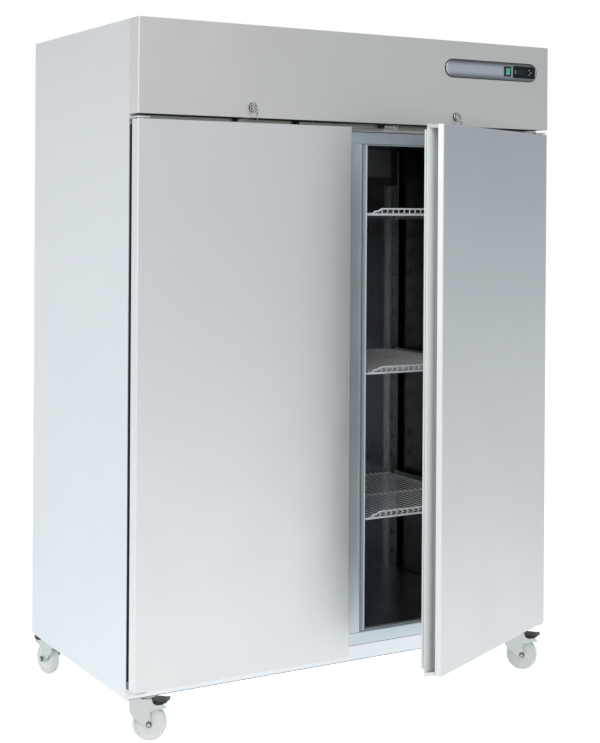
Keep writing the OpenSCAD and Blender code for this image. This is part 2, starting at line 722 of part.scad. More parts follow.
// Foam core with the raised inner pan
module door_core(cam_span) {
  t = skin_t;
  rim = gasket_w + 3;
  a = [seal_x0 + rim, seal_z0 + rim];
  b = [seal_x1 - rim, seal_z1 - rim];
  difference() {
    union() {
      translate([0, 0, door_z0 + t]) linear_extrude(height = door_z1 - door_z0 - 2 * t)
        polygon(beside(door_path, -t));
      for (step = [0:3]) {
        inset = pan_slope * (1 - cos(step * 30));
        low = door_t + pan_rise * sin(step * 30);
        high = door_t + pan_rise * sin(min(step + 1, 3) * 30);
        along_y(door_t - 2, step == 3 ? low : high)
          translate([a[0] + inset, a[1] + inset]) square([b[0] - a[0] - 2 * inset, b[1] - a[1] - 2 * inset]);
      }
    }
    bush_bores(bush_r + seat / 3);
    cam_space(cam_span, door_z1 - 16, door_z1 + 1);
  }
}

// Magnetic gasket: foot, bellows and bead, each a ring
module door_gasket() {
  y1 = frame_y - seat;
  h = y1 - door_t - seat;
  // Start and end of each ring as a share of the height, and its inset from the bead's edges
  rings = [[0, 0.25, 4], [0.25, 0.62, 7], [0.62, 1, 0]];
  for (r = rings) along_y(door_t + seat + r[0] * h, door_t + seat + r[1] * h) difference() {
    translate([seal_x0 + r[2], seal_z0 + r[2]])
      square([seal_x1 - seal_x0 - 2 * r[2], seal_z1 - seal_z0 - 2 * r[2]]);
    translate([seal_x0 + gasket_w - r[2], seal_z0 + gasket_w - r[2]])
      square([seal_x1 - seal_x0 - 2 * (gasket_w - r[2]), seal_z1 - seal_z0 - 2 * (gasket_w - r[2])]);
  }
}

// A flanged bush at each end of the door, round the hinge pins
module door_bushes() {
  for (end = [0, 1]) translate([pivot_x, pivot_y, end == 0 ? door_z0 : door_z1]) mirror([0, 0, end])
    difference() {
      union() {
        translate([0, 0, -2.6]) cylinder(h = 2.6, r = bush_r + 2, $fn = 48);
        cylinder(h = pin_len + 4, r = bush_r, $fn = 48);
      }
      translate([0, 0, -5]) cylinder(h = pin_len + 6, r = pin_r + run, $fn = 48);
    }
}

cam_right = [lock_x_right - cam_near, lock_x_right + cam_far];
cam_left = [-lock_x_left - cam_far, -lock_x_left + cam_near];
module right_door_skin() { color("gainsboro") swung(ajar) door_skin(cam_right); }
module right_door_core() { color("lightgray") swung(ajar) door_core(cam_right); }
module right_door_gasket() { color("white") swung(ajar) door_gasket(); }
module right_door_bushes() { color("ivory") swung(ajar) door_bushes(); }
module left_door_skin() { color("gainsboro") mirror([1, 0, 0]) door_skin(cam_left); }
module left_door_core() { color("lightgray") mirror([1, 0, 0]) door_core(cam_left); }
module left_door_gasket() { color("white") mirror([1, 0, 0]) door_gasket(); }
module left_door_bushes() { color("ivory") mirror([1, 0, 0]) door_bushes(); }

// Folded brackets with the hinge pins, two above and two below
module hinge_brackets() {
  arm = 4;
  color("silver") for (s = [0, 1]) mirror([s, 0, 0]) for (end = [0, 1])
    translate([pivot_x, 0, end == 0 ? door_z0 - 3 : door_z1 + 3]) mirror([0, 0, end]) {
      translate([0, 0, -arm]) linear_extrude(height = arm)
        polygon(round_loop(box_loop(-24, 4, 16, frame_y), 6));
      block([-24, frame_y - arm, -arm - (end == 0 ? 18 : 7)], [16, frame_y, 0]);
      translate([0, pivot_y, -arm / 2]) cylinder(h = arm / 2 + 3 + pin_len, r = pin_r, $fn = 48);
    }
}

// Controls on the header
bezel_z = header_z + bezel_up;
bezel_t = 2.5;
bezel_end = bezel_x + bezel_w / 2;
switch_x = bezel_end - 122;
panel_x = bezel_end - 54.5;

function stadium(w, h) = let (r = h / 2)
  concat([for (a = [-90:10:90]) [w / 2 - r + r * cos(a), r * sin(a)]],
         [for (a = [90:10:270]) [-w / 2 + r + r * cos(a), r * sin(a)]]);

module control_bezel() {
  color("lightsteelblue") difference() {
    union() {
      along_y(-bezel_t - seat / 3, -seat / 3) translate([bezel_x, bezel_z]) polygon(stadium(bezel_w, bezel_h));
      along_y(-2 * bezel_t, -bezel_t) translate([bezel_x, bezel_z]) polygon(stadium(bezel_w - 7, bezel_h - 7));
    }
    along_y(-10, 1) translate([panel_x - panel_w / 2 + 4, bezel_z - panel_h / 2 + 3])
      square([panel_w - 8, panel_h - 6]);
    along_y(-10, 1) translate([switch_x - switch_w / 2 + 3, bezel_z - switch_h / 2 + 3])
      square([switch_w - 6, switch_h - 6]);
  }
}

// Set, up and down
button_x = panel_x + 19;
buttons = [[button_x + button_step, 0], [button_x, button_step], [button_x, -button_step]];
button_out = 1;
face_y = -2 * bezel_t;

// Black frame of the rocker, and the controller's front with its button bores
module control_housings() {
  flange = 2.6;
  color("black") {
    difference() {
      union() {
        along_y(face_y - flange, face_y) translate([switch_x, bezel_z])
          polygon(round_loop(box_loop(-switch_w / 2, -switch_h / 2, switch_w / 2, switch_h / 2), 2.5));
        along_y(face_y - 1, 24) translate([switch_x - switch_w / 2 + 3.3, bezel_z - switch_h / 2 + 3.3])
          square([switch_w - 6.6, switch_h - 6.6]);
      }
      along_y(face_y - 5, 20) translate([switch_x - switch_w / 2 + 4.6, bezel_z - switch_h / 2 + 4.6])
        square([switch_w - 9.2, switch_h - 9.2]);
      rocker_pin(rocker_pin_r + run, switch_w);
    }
    difference() {
      union() {
        along_y(face_y - flange, face_y) translate([panel_x, bezel_z])
          polygon(round_loop(box_loop(-panel_w / 2, -panel_h / 2, panel_w / 2, panel_h / 2), 6, 6));
        along_y(face_y - 1, 44) translate([panel_x - panel_w / 2 + 4.3, bezel_z - panel_h / 2 + 3.3])
          square([panel_w - 8.6, panel_h - 6.6]);
      }
      along_y(face_y - 5, face_y - flange + 0.8) translate([panel_x - 31, bezel_z - 10])
        square([42, 20]);
      for (b = buttons) translate([b[0], 0, bezel_z + b[1]]) rotate([90, 0, 0]) {
        cylinder(h = 20, r = button_r + 0.35, $fn = 40);
        translate([0, 0, -6]) cylinder(h = 9, r = button_r + 1.6, $fn = 40);
      }
    }
  }
}

module button(i) {
  color("dimgray") translate([buttons[i][0], 0, bezel_z + buttons[i][1]]) rotate([90, 0, 0]) {
    cylinder(h = -face_y + 2.6 + button_out, r = button_r, $fn = 40);
    cylinder(h = 2.5, r = button_r + 1.2, $fn = 40);
    translate([0, 0, -4.6]) cylinder(h = 5, r = button_r - 1, $fn = 32);
  }
}
module set_button() { button(0); }
module up_button() { button(1); }
module down_button() { button(2); }

// The pin across the rocker, and its bores in the frame
rocker_pin_r = 1.6;
module rocker_pin(r, l) {
  translate([switch_x, face_y + 3, bezel_z]) rotate([0, 90, 0]) cylinder(h = l, r = r, center = true, $fn = 32);
}

// Lit rocker, tilted about its pin
module rocker_switch() {
  color("limegreen") rocker_pin(rocker_pin_r, switch_w - 7);
  w = switch_w - 9.2 - 2 * free;
  h = switch_h - 9.2 - 2 * free;
  tilt = 8;
  color("limegreen") translate([switch_x, face_y + 3, bezel_z]) rotate([tilt / 2, 0, 0])
    along_x(-w / 2, w / 2) polygon([[6, -5], [-3, -h / 2 + 0.8], [-6.4, -h / 2 + 0.8], [-5, 0],
      [-6.4, h / 2 - 0.8], [-3, h / 2 - 0.8], [6, 5]]);
}

// Locks
module at_lock(x) { translate([x, 0, lock_z]) rotate([90, 0, 0]) children(); }
module lock_housings() {
  color("silver") for (x = [lock_x_left, lock_x_right]) at_lock(x) difference() {
    union() {
      cylinder(h = 3, r = lock_body_r + 3, $fn = 48);
      translate([0, 0, -cam_y + seat]) cylinder(h = cam_y, r = lock_body_r, $fn = 48);
    }
    translate([0, 0, -cam_y - 1]) cylinder(h = cam_y + 6, r = lock_r + run, $fn = 48);
  }
}

// Turning cylinder with its cam, which points sideways while unlocked
module lock_cylinder(x) {
  color("lightgray") at_lock(x) {
    difference() {
      translate([0, 0, -cam_y]) cylinder(h = cam_y + 3.6, r = lock_r, $fn = 48);
      translate([-1.2, -key_slot_h / 2, -18]) cube([2.4, key_slot_h, 30]);
    }
    translate([0, 0, -cam_y - cam_t]) linear_extrude(height = cam_t) difference() {
      union() {
        circle(r = cam_w / 2, $fn = 48);
        translate([0, -cam_w / 2]) square([cam_len, cam_w]);
      }
      translate([cam_len, cam_w / 2]) rotate([0, 0, -135]) square([20, 6], center = true);
    }
  }
}
module left_lock_cylinder() { lock_cylinder(lock_x_left); }
module right_lock_cylinder() { lock_cylinder(lock_x_right); }

// A flat key, its blade along +Y and the bow's hole at the other end
function bow_hole(bow_r, hole_r) = bow_r - hole_r - 2.5;
module key(bow_r, blade_l, hole_r) {
  rotate([0, 90, 0]) difference() {
    union() {
      cylinder(h = 2, r = bow_r, center = true, $fn = 40);
      translate([-bow_r / 3, 0, -1]) cube([bow_r * 2 / 3, bow_r + blade_l, 2]);
    }
    translate([0, -bow_hole(bow_r, hole_r), -3]) cylinder(h = 6, r = hole_r, $fn = 24);
  }
}

// The key in its lock, with a ring and a spare key that hang from it
module keys(x) {
  out = 16;
  bow_r = 9;
  spare_r = 7;
  hole_r = 2.4;
  wire_r = 0.9;
  ring_r = 8;
  ring_z = wire_r + 0.1 - hole_r - ring_r;
  side = 3.2;
  spare_z = ring_z - sqrt(ring_r * ring_r - side * side) - wire_r - bow_hole(spare_r, hole_r);
  color("silver") translate([x, -out, lock_z]) {
    key(bow_r, out - bow_r + 12, hole_r);
    translate([0, -bow_hole(bow_r, hole_r), 0]) {
      translate([0, 0, ring_z]) rotate([90, 0, 0]) rotate_extrude($fn = 40)
        translate([ring_r, 0]) circle(r = wire_r, $fn = 16);
      translate([side, 0, spare_z]) rotate([-90, 0, 0]) key(spare_r, 12, hole_r);
    }
  }
}
module left_keys() { keys(lock_x_left); }
module right_keys() { keys(lock_x_right); }

// Castors
plate_t = 3;
fork_top = base_z - plate_t - seat;
cheek = wheel_w / 2 + 3;
cheek_t = 3;
swivel_x = half_w - swivel_in;
// Place and resting direction of each castor: front left, front right, rear left, rear right
castors = [[-swivel_x, swivel_front, -29], [swivel_x, swivel_front, -38],
  [-swivel_x, cab_d - swivel_rear, 99], [swivel_x, cab_d - swivel_rear, 108]];
// The brake pedal's pin in the arms of the fork, beside the top of the tread
pedal_pin = [trail + 22, wheel_r + 54];
pin_out = norm(pedal_pin - [trail, wheel_r]);
// Share of the pin's distance from the axle, and the shoe's tip beside that line
tread_way = (pedal_pin - [trail, wheel_r]) / pin_out;
shoe_side = 9;
shoe_gap = 1.4;
shoe_tip = tread_way * (sqrt(pow(wheel_r + shoe_gap, 2) - shoe_side * shoe_side) - pin_out)
  + turned(tread_way, -90) * shoe_side;
module at_castor(i) { translate([castors[i][0], castors[i][1], 0]) rotate([0, 0, castors[i][2]]) children(); }

// Bolted top plates with their kingpins
module castor_plates() {
  color("silver") for (c = castors) translate([c[0], c[1], base_z - plate_t]) {
    linear_extrude(height = plate_t) difference() {
      polygon(round_loop(box_loop(-50, -42, 50, 42), 8));
      for (x = [-38, 38], y = [-30, 30]) translate([x, y]) circle(r = 4.3, $fn = 24);
    }
    for (x = [-38, 38], y = [-30, 30]) translate([x, y, -4]) cylinder(h = 4 + plate_t, r = 4.3, $fn = 24);
    for (x = [-38, 38], y = [-30, 30]) translate([x, y, -4]) cylinder(h = 4, r = 7, $fn = 6);
    translate([0, 0, -16]) cylinder(h = 16, r = 6, $fn = 32);
  }
}

// Swivel fork: head with its race, front apron, two cheeks with narrow legs and arms for the pedal, axle
module fork() {
  head = fork_top - 14;
  head_end = trail + 8;
  arm = pedal_pin[1];
  leg = round_loop([[-20, head + 6], [-18, wheel_r + 34], [-9, wheel_r + 21], [trail - 21, wheel_r - 1],
    [trail - 5, wheel_r - 10], [trail + 7, wheel_r - 9], [trail + 9, wheel_r + 4], [trail + 5, wheel_r + 16],
    [trail + 2, wheel_r + 31], [trail + 8, wheel_r + 39], [pedal_pin[0] + 27, arm - 8],
    [pedal_pin[0] + 29, arm - 3], [pedal_pin[0] + 22, arm + 1], [pedal_pin[0] + 4, arm + 6],
    [head_end + 3, arm + 7], [head_end, head + 6]], 1.8, 3);
  apron = [[-20, head + 3], [-19.4, wheel_r + 44], [-16.6, wheel_r + 44], [-17, head + 3]];
  color("silver") {
    difference() {
      union() {
        translate([0, 0, head + 5]) cylinder(h = fork_top - head - 5, r = 25, $fn = 48);
        translate([0, 0, head]) linear_extrude(height = 6)
          polygon(round_loop(box_loop(-20, -cheek - cheek_t, head_end, cheek + cheek_t), 5));
      }
      translate([0, 0, head - 5]) cylinder(h = 40, r = 6 + run, $fn = 32);
    }
    along_y(-cheek - 1, cheek + 1) polygon(apron);
    for (y = [cheek, -cheek - cheek_t]) along_y(y, y + cheek_t) polygon(leg);
    translate([trail, 0, wheel_r]) rotate([90, 0, 0]) {
      cylinder(h = 2 * (cheek + cheek_t), r = axle_r, center = true, $fn = 32);
      for (s = [-1, 1]) translate([0, 0, s * (cheek + cheek_t + 2)]) cylinder(h = 4, r = 9, center = true, $fn = 6);
    }
    translate([pedal_pin[0], 0, pedal_pin[1]]) rotate([90, 0, 0])
      cylinder(h = 2 * (cheek + cheek_t), r = 3, center = true, $fn = 32);
  }
}

// Nylon wheel with a crowned tread and slightly conical sides
module wheel() {
  w = wheel_w / 2;
  hub = cheek - 0.6;
  half = [[axle_r + run, hub], [12, hub], [13.5, w - 1], [wheel_r - 13, w - 3.5], [wheel_r - 9, w - 1],
    [wheel_r - 5, w], [wheel_r - 1.8, w - 2.4], [wheel_r - 0.3, w - 6], [wheel_r, w * 0.3]];
  color("white") translate([trail, 0, wheel_r]) rotate([90, 0, 0]) rotate_extrude($fn = 72)
    polygon(concat(half, [for (p = backwards(half)) [p[0], -p[1]]]));
}

// Brake pedal over the fork's arms: ribbed plate with a raised tip, side skirts, and between
// the cheeks the boss round its pin with the shoe that meets the tread
module pedal() {
  w = cheek - 0.6;
  wide = pedal_w / 2;
  plate = [[-11, 11.5], [24, 8.5], [38, 14.5]];
  skirt = [[-10, 12.5], [-9, 6], [2, 2], [19, 5], [22, 10]];
  color("black") translate([pedal_pin[0], 0, pedal_pin[1]]) {
    along_y(-w, w) difference() {
      polygon(round_loop([[-7, 3.5], [-6.5, -3], [-2, -6.5], shoe_tip, [9.5, -8], [10, 11], [-9, 13]], 1.5, 3));
      circle(r = 3 + run, $fn = 32);
    }
    difference() {
      along_y(-wide, wide) sheet(round_path(plate, [6]), 3);
      for (s = [0, 1]) mirror([0, s, 0]) linear_extrude(height = 60, center = true)
        polygon([[22, wide + 1], [40, 9], [60, 9], [60, wide + 1]]);
    }
    for (x = [-8, -1, 6, 13, 20]) along_y(-wide + 4, wide - 4)
      translate([0, -x * 0.085]) polygon([[x, 12.6], [x + 2.4, 12.6], [x + 1.8, 15.6], [x + 0.6, 15.6]]);
    for (s = [0, 1]) mirror([0, s, 0]) along_y(cheek + cheek_t + 1, wide) polygon(skirt);
  }
}
module front_left_fork() { at_castor(0) fork(); }
module front_right_fork() { at_castor(1) fork(); }
module rear_left_fork() { at_castor(2) fork(); }
module rear_right_fork() { at_castor(3) fork(); }
module front_left_wheel() { at_castor(0) wheel(); }
module front_right_wheel() { at_castor(1) wheel(); }
module rear_left_wheel() { at_castor(2) wheel(); }
module rear_right_wheel() { at_castor(3) wheel(); }
module front_left_pedal() { at_castor(0) pedal(); }
module front_right_pedal() { at_castor(1) pedal(); }
module rear_left_pedal() { at_castor(2) pedal(); }
module rear_right_pedal() { at_castor(3) pedal(); }

left_side_panel();
right_side_panel();
rear_and_deck_panel();
base_pan();
foam_walls();
inner_liner();
front_frame();
mullion();
breaker_strips();
header_panel();
top_cover();
compressor();
condenser();
condenser_fan();
electrical_box();
evaporator();
evaporator_cover();
left_evaporator_fan();
right_evaporator_fan();
rack_posts();
shelf_runners();
left_bottom_shelf();
left_middle_shelf();
left_top_shelf();
right_bottom_shelf();
right_middle_shelf();
right_top_shelf();
left_door_skin();
left_door_core();
left_door_gasket();
left_door_bushes();
right_door_skin();
right_door_core();
right_door_gasket();
right_door_bushes();
hinge_brackets();
control_bezel();
control_housings();
rocker_switch();
set_button();
up_button();
down_button();
lock_housings();
left_lock_cylinder();
left_keys();
right_lock_cylinder();
right_keys();
castor_plates();
front_left_fork();
front_left_wheel();
front_left_pedal();
front_right_fork();
front_right_wheel();
front_right_pedal();
rear_left_fork();
rear_left_wheel();
rear_left_pedal();
rear_right_fork();
rear_right_wheel();
rear_right_pedal();
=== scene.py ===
import json
import math
import bpy
from mathutils import Matrix, Vector


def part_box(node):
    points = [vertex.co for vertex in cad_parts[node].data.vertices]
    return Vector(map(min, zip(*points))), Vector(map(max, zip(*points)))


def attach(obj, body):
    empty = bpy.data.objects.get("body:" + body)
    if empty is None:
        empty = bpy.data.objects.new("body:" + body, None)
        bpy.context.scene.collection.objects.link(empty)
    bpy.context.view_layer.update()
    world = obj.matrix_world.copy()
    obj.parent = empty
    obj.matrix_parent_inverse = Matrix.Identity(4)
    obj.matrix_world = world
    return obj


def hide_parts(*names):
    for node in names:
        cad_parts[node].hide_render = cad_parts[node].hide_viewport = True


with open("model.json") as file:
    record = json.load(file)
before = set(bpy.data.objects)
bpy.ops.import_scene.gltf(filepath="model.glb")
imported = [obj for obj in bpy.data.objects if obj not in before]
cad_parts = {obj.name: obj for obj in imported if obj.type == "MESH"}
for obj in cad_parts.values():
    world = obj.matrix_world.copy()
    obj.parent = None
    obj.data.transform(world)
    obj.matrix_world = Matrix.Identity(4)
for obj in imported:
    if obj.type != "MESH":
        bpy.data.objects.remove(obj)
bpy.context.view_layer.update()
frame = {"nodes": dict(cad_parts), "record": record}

# Everything is in metres, in the frame of the CAD: the origin on the floor under the middle of the
# doors' front plane, +X to the viewer's right, +Y to the back, +Z up.

# Sizes that the dressed pieces share with the CAD
HALF_W = 0.740
DEPTH = 0.836
HEIGHT = 2.080
BASE_Z = 0.134
PLINTH_TOP = 0.180
HEADER_Z = 1.807
DOOR_Z0 = 0.170
DOOR_Z1 = 1.792
DOOR_T = 0.044
FRAME_Y = 0.062
CEILING_Z = 1.754
SILL_Z = 0.218
OPEN_X1 = 0.668
OPEN_Z1 = 1.746
STRIP_MID_X = 0.070
DECK_Z = 1.822
HINGE_X = 0.722
PIVOT = Vector((HINGE_X, 0.018, 0.0))
AJAR = math.radians(25.5)
OPENED = Matrix.Rotation(AJAR, 3, "Z")
LIP_X = 0.027
BEZEL_X, BEZEL_Z = 0.5055, 1.993
BEZEL_W, BEZEL_H = 0.371, 0.060
SWITCH_X = 0.567
PANEL_X = 0.6345
BUTTON_X = 0.6535
BUTTON_STEP = 0.0075
FACE_Y = -0.005
LOCK_Z = 1.837
LOCKS = {"left": -0.3735, "right": 0.366}


# Shader building blocks

class Nodes:
    """A short way to write a node tree."""

    def __init__(self, tree, clear=True):
        self.tree = tree
        if clear:
            tree.nodes.clear()

    def add(self, kind, inputs=None, **settings):
        node = self.tree.nodes.new(kind)
        for key, value in settings.items():
            setattr(node, key, value)
        for key, value in (inputs or {}).items():
            socket = node.inputs[key]
            if isinstance(value, bpy.types.NodeSocket):
                self.tree.links.new(value, socket)
            else:
                socket.default_value = value
        return node

    def math(self, operation, a, b=0.0, clamp=False):
        return self.add("ShaderNodeMath", {0: a, 1: b}, operation=operation, use_clamp=clamp).outputs[0]

    def place(self):
        return self.add("ShaderNodeTexCoord").outputs["Object"]

    def noise(self, place, scale, detail, roughness=0.5):
        return self.add("ShaderNodeTexNoise", {"Vector": place, "Scale": scale, "Detail": detail,
                                               "Roughness": roughness}).outputs[0]

    def grey(self, value):
        return self.add("ShaderNodeCombineColor", {0: value, 1: value, 2: value}).outputs[0]

    def varied(self, base, value, amount, clamp=False):
        """A base, moved by how far a noise value lies from one half, times an amount."""
        swing = self.math("MULTIPLY", self.math("SUBTRACT", value, 0.5), amount)
        return self.math("ADD", base, swing, clamp)

    def bump(self, strength, distance, height, below=None):
        inputs = {"Strength": strength, "Distance": distance, "Height": height}
        if below is not None:
            inputs["Normal"] = below
        return self.add("ShaderNodeBump", inputs).outputs[0]

    def mapped(self, value, low, high, to_low, to_high, smooth=False):
        node = self.add("ShaderNodeMapRange", {"Value": value, "From Min": low, "From Max": high,
                                               "To Min": to_low, "To Max": to_high})
        node.interpolation_type = "SMOOTHSTEP" if smooth else "LINEAR"
        return node.outputs["Result"]

    def mixed(self, factor, a, b, blend="MIX"):
        node = self.add("ShaderNodeMix", data_type="RGBA", blend_type=blend)
        for index, value in ((0, factor), (6, a), (7, b)):
            if isinstance(value, bpy.types.NodeSocket):
                self.tree.links.new(value, node.inputs[index])
            elif index == 0:
                node.inputs[index].default_value = value
            else:
                node.inputs[index].default_value = (*value[:3], 1.0)
        return node.outputs[2]


FLOAT, COLOUR, VECTOR = "NodeSocketFloat", "NodeSocketColor", "NodeSocketVector"


def shader_group(name, inputs):
    """A node group that gives a colour, a roughness and a normal, with the Nodes and inputs to fill it."""
    group = bpy.data.node_groups.new(name, "ShaderNodeTree")
    for label, kind, default in inputs:
        socket = group.interface.new_socket(label, in_out="INPUT", socket_type=kind)
        socket.default_value = default
    for label, kind in (("Colour", COLOUR), ("Roughness", FLOAT), ("Normal", VECTOR)):
        group.interface.new_socket(label, in_out="OUTPUT", socket_type=kind)
    nodes = Nodes(group)
    return group, nodes, nodes.add("NodeGroupInput").outputs


def build_sheet_grain():
    """Satin-ground sheet: fine lines along one axis, soft waves of the sheet, and faint wiped patches."""
    group, n, got = shader_group(
        "sheet_grain",
        [("Colour", COLOUR, (0.8, 0.8, 0.8, 1.0)), ("Stretch", VECTOR, (1.0, 1.0, 0.02)),
         ("Lines per metre", FLOAT, 1400.0), ("Contrast", FLOAT, 0.05), ("Roughness", FLOAT, 0.36),
         ("Relief", FLOAT, 0.06), ("Wave", FLOAT, 0.12)])
    place = n.place()
    along = n.add("ShaderNodeVectorMath", {0: place, 1: got["Stretch"]}, operation="MULTIPLY").outputs[0]
    lines = n.noise(along, got["Lines per metre"], 2.0, 0.55)
    broad = n.noise(along, n.math("MULTIPLY", got["Lines per metre"], 0.12), 3.0)
    both = n.math("ADD", n.math("MULTIPLY", lines, 0.65), n.math("MULTIPLY", broad, 0.35))
    # Colour: a little lighter and darker along the lines
    shade = n.varied(1.0, both, got["Contrast"])
    colour = n.mixed(1.0, got["Colour"], n.grey(shade), "MULTIPLY")
    # Roughness: the lines, and faint wiped patches half a hand wide
    patch = n.mapped(n.noise(place, 5.0, 3.0), 0.35, 0.7, -0.02, 0.035, smooth=True)
    rough = n.varied(n.math("ADD", got["Roughness"], patch), both, 0.22, clamp=True)
    # Normal: long shallow waves of the sheet under the ground lines
    wavy = n.bump(got["Wave"], 0.02, n.noise(place, 1.6, 1.0))
    normal = n.bump(got["Relief"], 0.0004, both, wavy)
    n.add("NodeGroupOutput", {"Colour": colour, "Roughness": rough, "Normal": normal})
    return group


def build_moulded():
    """Moulded plastic or rubber: fine grain of the mould, soft flow clouds and settled dust."""
    group, n, got = shader_group(
        "moulded",
        [("Colour", COLOUR, (0.5, 0.5, 0.5, 1.0)), ("Grain per metre", FLOAT, 2200.0),
         ("Roughness", FLOAT, 0.45), ("Relief", FLOAT, 0.08), ("Cloud", FLOAT, 0.06), ("Dust", FLOAT, 0.05)])
    place = n.place()
    grain = n.noise(place, got["Grain per metre"], 2.0)
    shade = n.varied(1.0, n.noise(place, 38.0, 3.0), got["Cloud"])
    tinted = n.mixed(1.0, got["Colour"], n.grey(shade), "MULTIPLY")
    # Dust lies on what faces up
    facing = n.add("ShaderNodeSeparateXYZ", {0: n.add("ShaderNodeNewGeometry").outputs["Normal"]})
    dust = n.math("MULTIPLY", n.mapped(facing.outputs[2], 0.2, 1.0, 0.0, 1.0), got["Dust"])
    colour = n.mixed(dust, tinted, (0.55, 0.54, 0.52))
    dusty = n.math("ADD", got["Roughness"], n.math("MULTIPLY", dust, 0.6))
    rough = n.varied(dusty, grain, 0.15, clamp=True)
    normal = n.bump(got["Relief"], 0.0002, grain)
    n.add("NodeGroupOutput", {"Colour": colour, "Roughness": rough, "Normal": normal})
    return group


def build_plated():
    """Zinc or nickel plate on pressed steel: cloudy blotches and small flakes."""
    group, n, got = shader_group(
        "plated",
        [("Colour", COLOUR, (0.7, 0.7, 0.7, 1.0)), ("Blotch", FLOAT, 0.10), ("Roughness", FLOAT, 0.32),
         ("Relief", FLOAT, 0.10)])
    place = n.place()
    blotch = n.noise(place, 70.0, 4.0, 0.6)
    flake = n.add("ShaderNodeTexVoronoi", {"Vector": place, "Scale": 420.0}).outputs["Color"]
    flake_value = n.add("ShaderNodeSeparateColor", {0: flake}).outputs[0]
    mix = n.math("ADD", n.math("MULTIPLY", blotch, 0.7), n.math("MULTIPLY", flake_value, 0.3))
    shade = n.varied(1.0, mix, got["Blotch"])
    colour = n.mixed(1.0, got["Colour"], n.grey(shade), "MULTIPLY")
    rough = n.varied(got["Roughness"], mix, 0.3, clamp=True)
    normal = n.bump(got["Relief"], 0.0003, mix)
    n.add("NodeGroupOutput", {"Colour": colour, "Roughness": rough, "Normal": normal})
    return group


SHEET_GRAIN = build_sheet_grain()
MOULDED = build_moulded()
PLATED = build_plated()

UPRIGHT = (1.0, 1.0, 0.012)     # grain lines that run up a sheet
LEVEL_X = (0.012, 1.0, 1.0)     # grain lines that run across the front


def finish_with(name, group, group_inputs, **sockets):
    """A material whose colour, roughness and normal come from a group, with plain values beside them."""
    material = bpy.data.materials.new(name)
    material.use_nodes = True
    n = Nodes(material.node_tree)
    source = n.add("ShaderNodeGroup", node_tree=group)
    for label, value in group_inputs.items():
        if label == "Colour":
            value = (*value, 1.0)
        source.inputs[label].default_value = value
    shader = n.add("ShaderNodeBsdfPrincipled", {"Base Color": source.outputs["Colour"],
                                                "Roughness": source.outputs["Roughness"]})
    n.tree.links.new(source.outputs["Normal"], shader.inputs["Normal"])
    for label, value in sockets.items():
        shader.inputs[label.replace("_", " ")].default_value = value
    out = n.add("ShaderNodeOutputMaterial")
    n.tree.links.new(shader.outputs[0], out.inputs["Surface"])
    return material


def satin(name, colour, stretch=UPRIGHT, roughness=0.36, lines=1400.0, contrast=0.05, relief=0.06, wave=0.12):
    return finish_with(name, SHEET_GRAIN, {"Colour": colour, "Stretch": stretch, "Lines per metre": lines,
                                           "Contrast": contrast, "Roughness": roughness, "Relief": relief,
                                           "Wave": wave}, Metallic=1.0)


def moulded(name, colour, roughness=0.45, grain=2200.0, relief=0.08, cloud=0.06, dust=0.05, **sockets):
    return finish_with(name, MOULDED, {"Colour": colour, "Grain per metre": grain, "Roughness": roughness,
                                       "Relief": relief, "Cloud": cloud, "Dust": dust}, **sockets)


def plated(name, colour, roughness=0.32, blotch=0.10, relief=0.10, **sockets):
    return finish_with(name, PLATED, {"Colour": colour, "Blotch": blotch, "Roughness": roughness,
                                      "Relief": relief}, Metallic=1.0, **sockets)


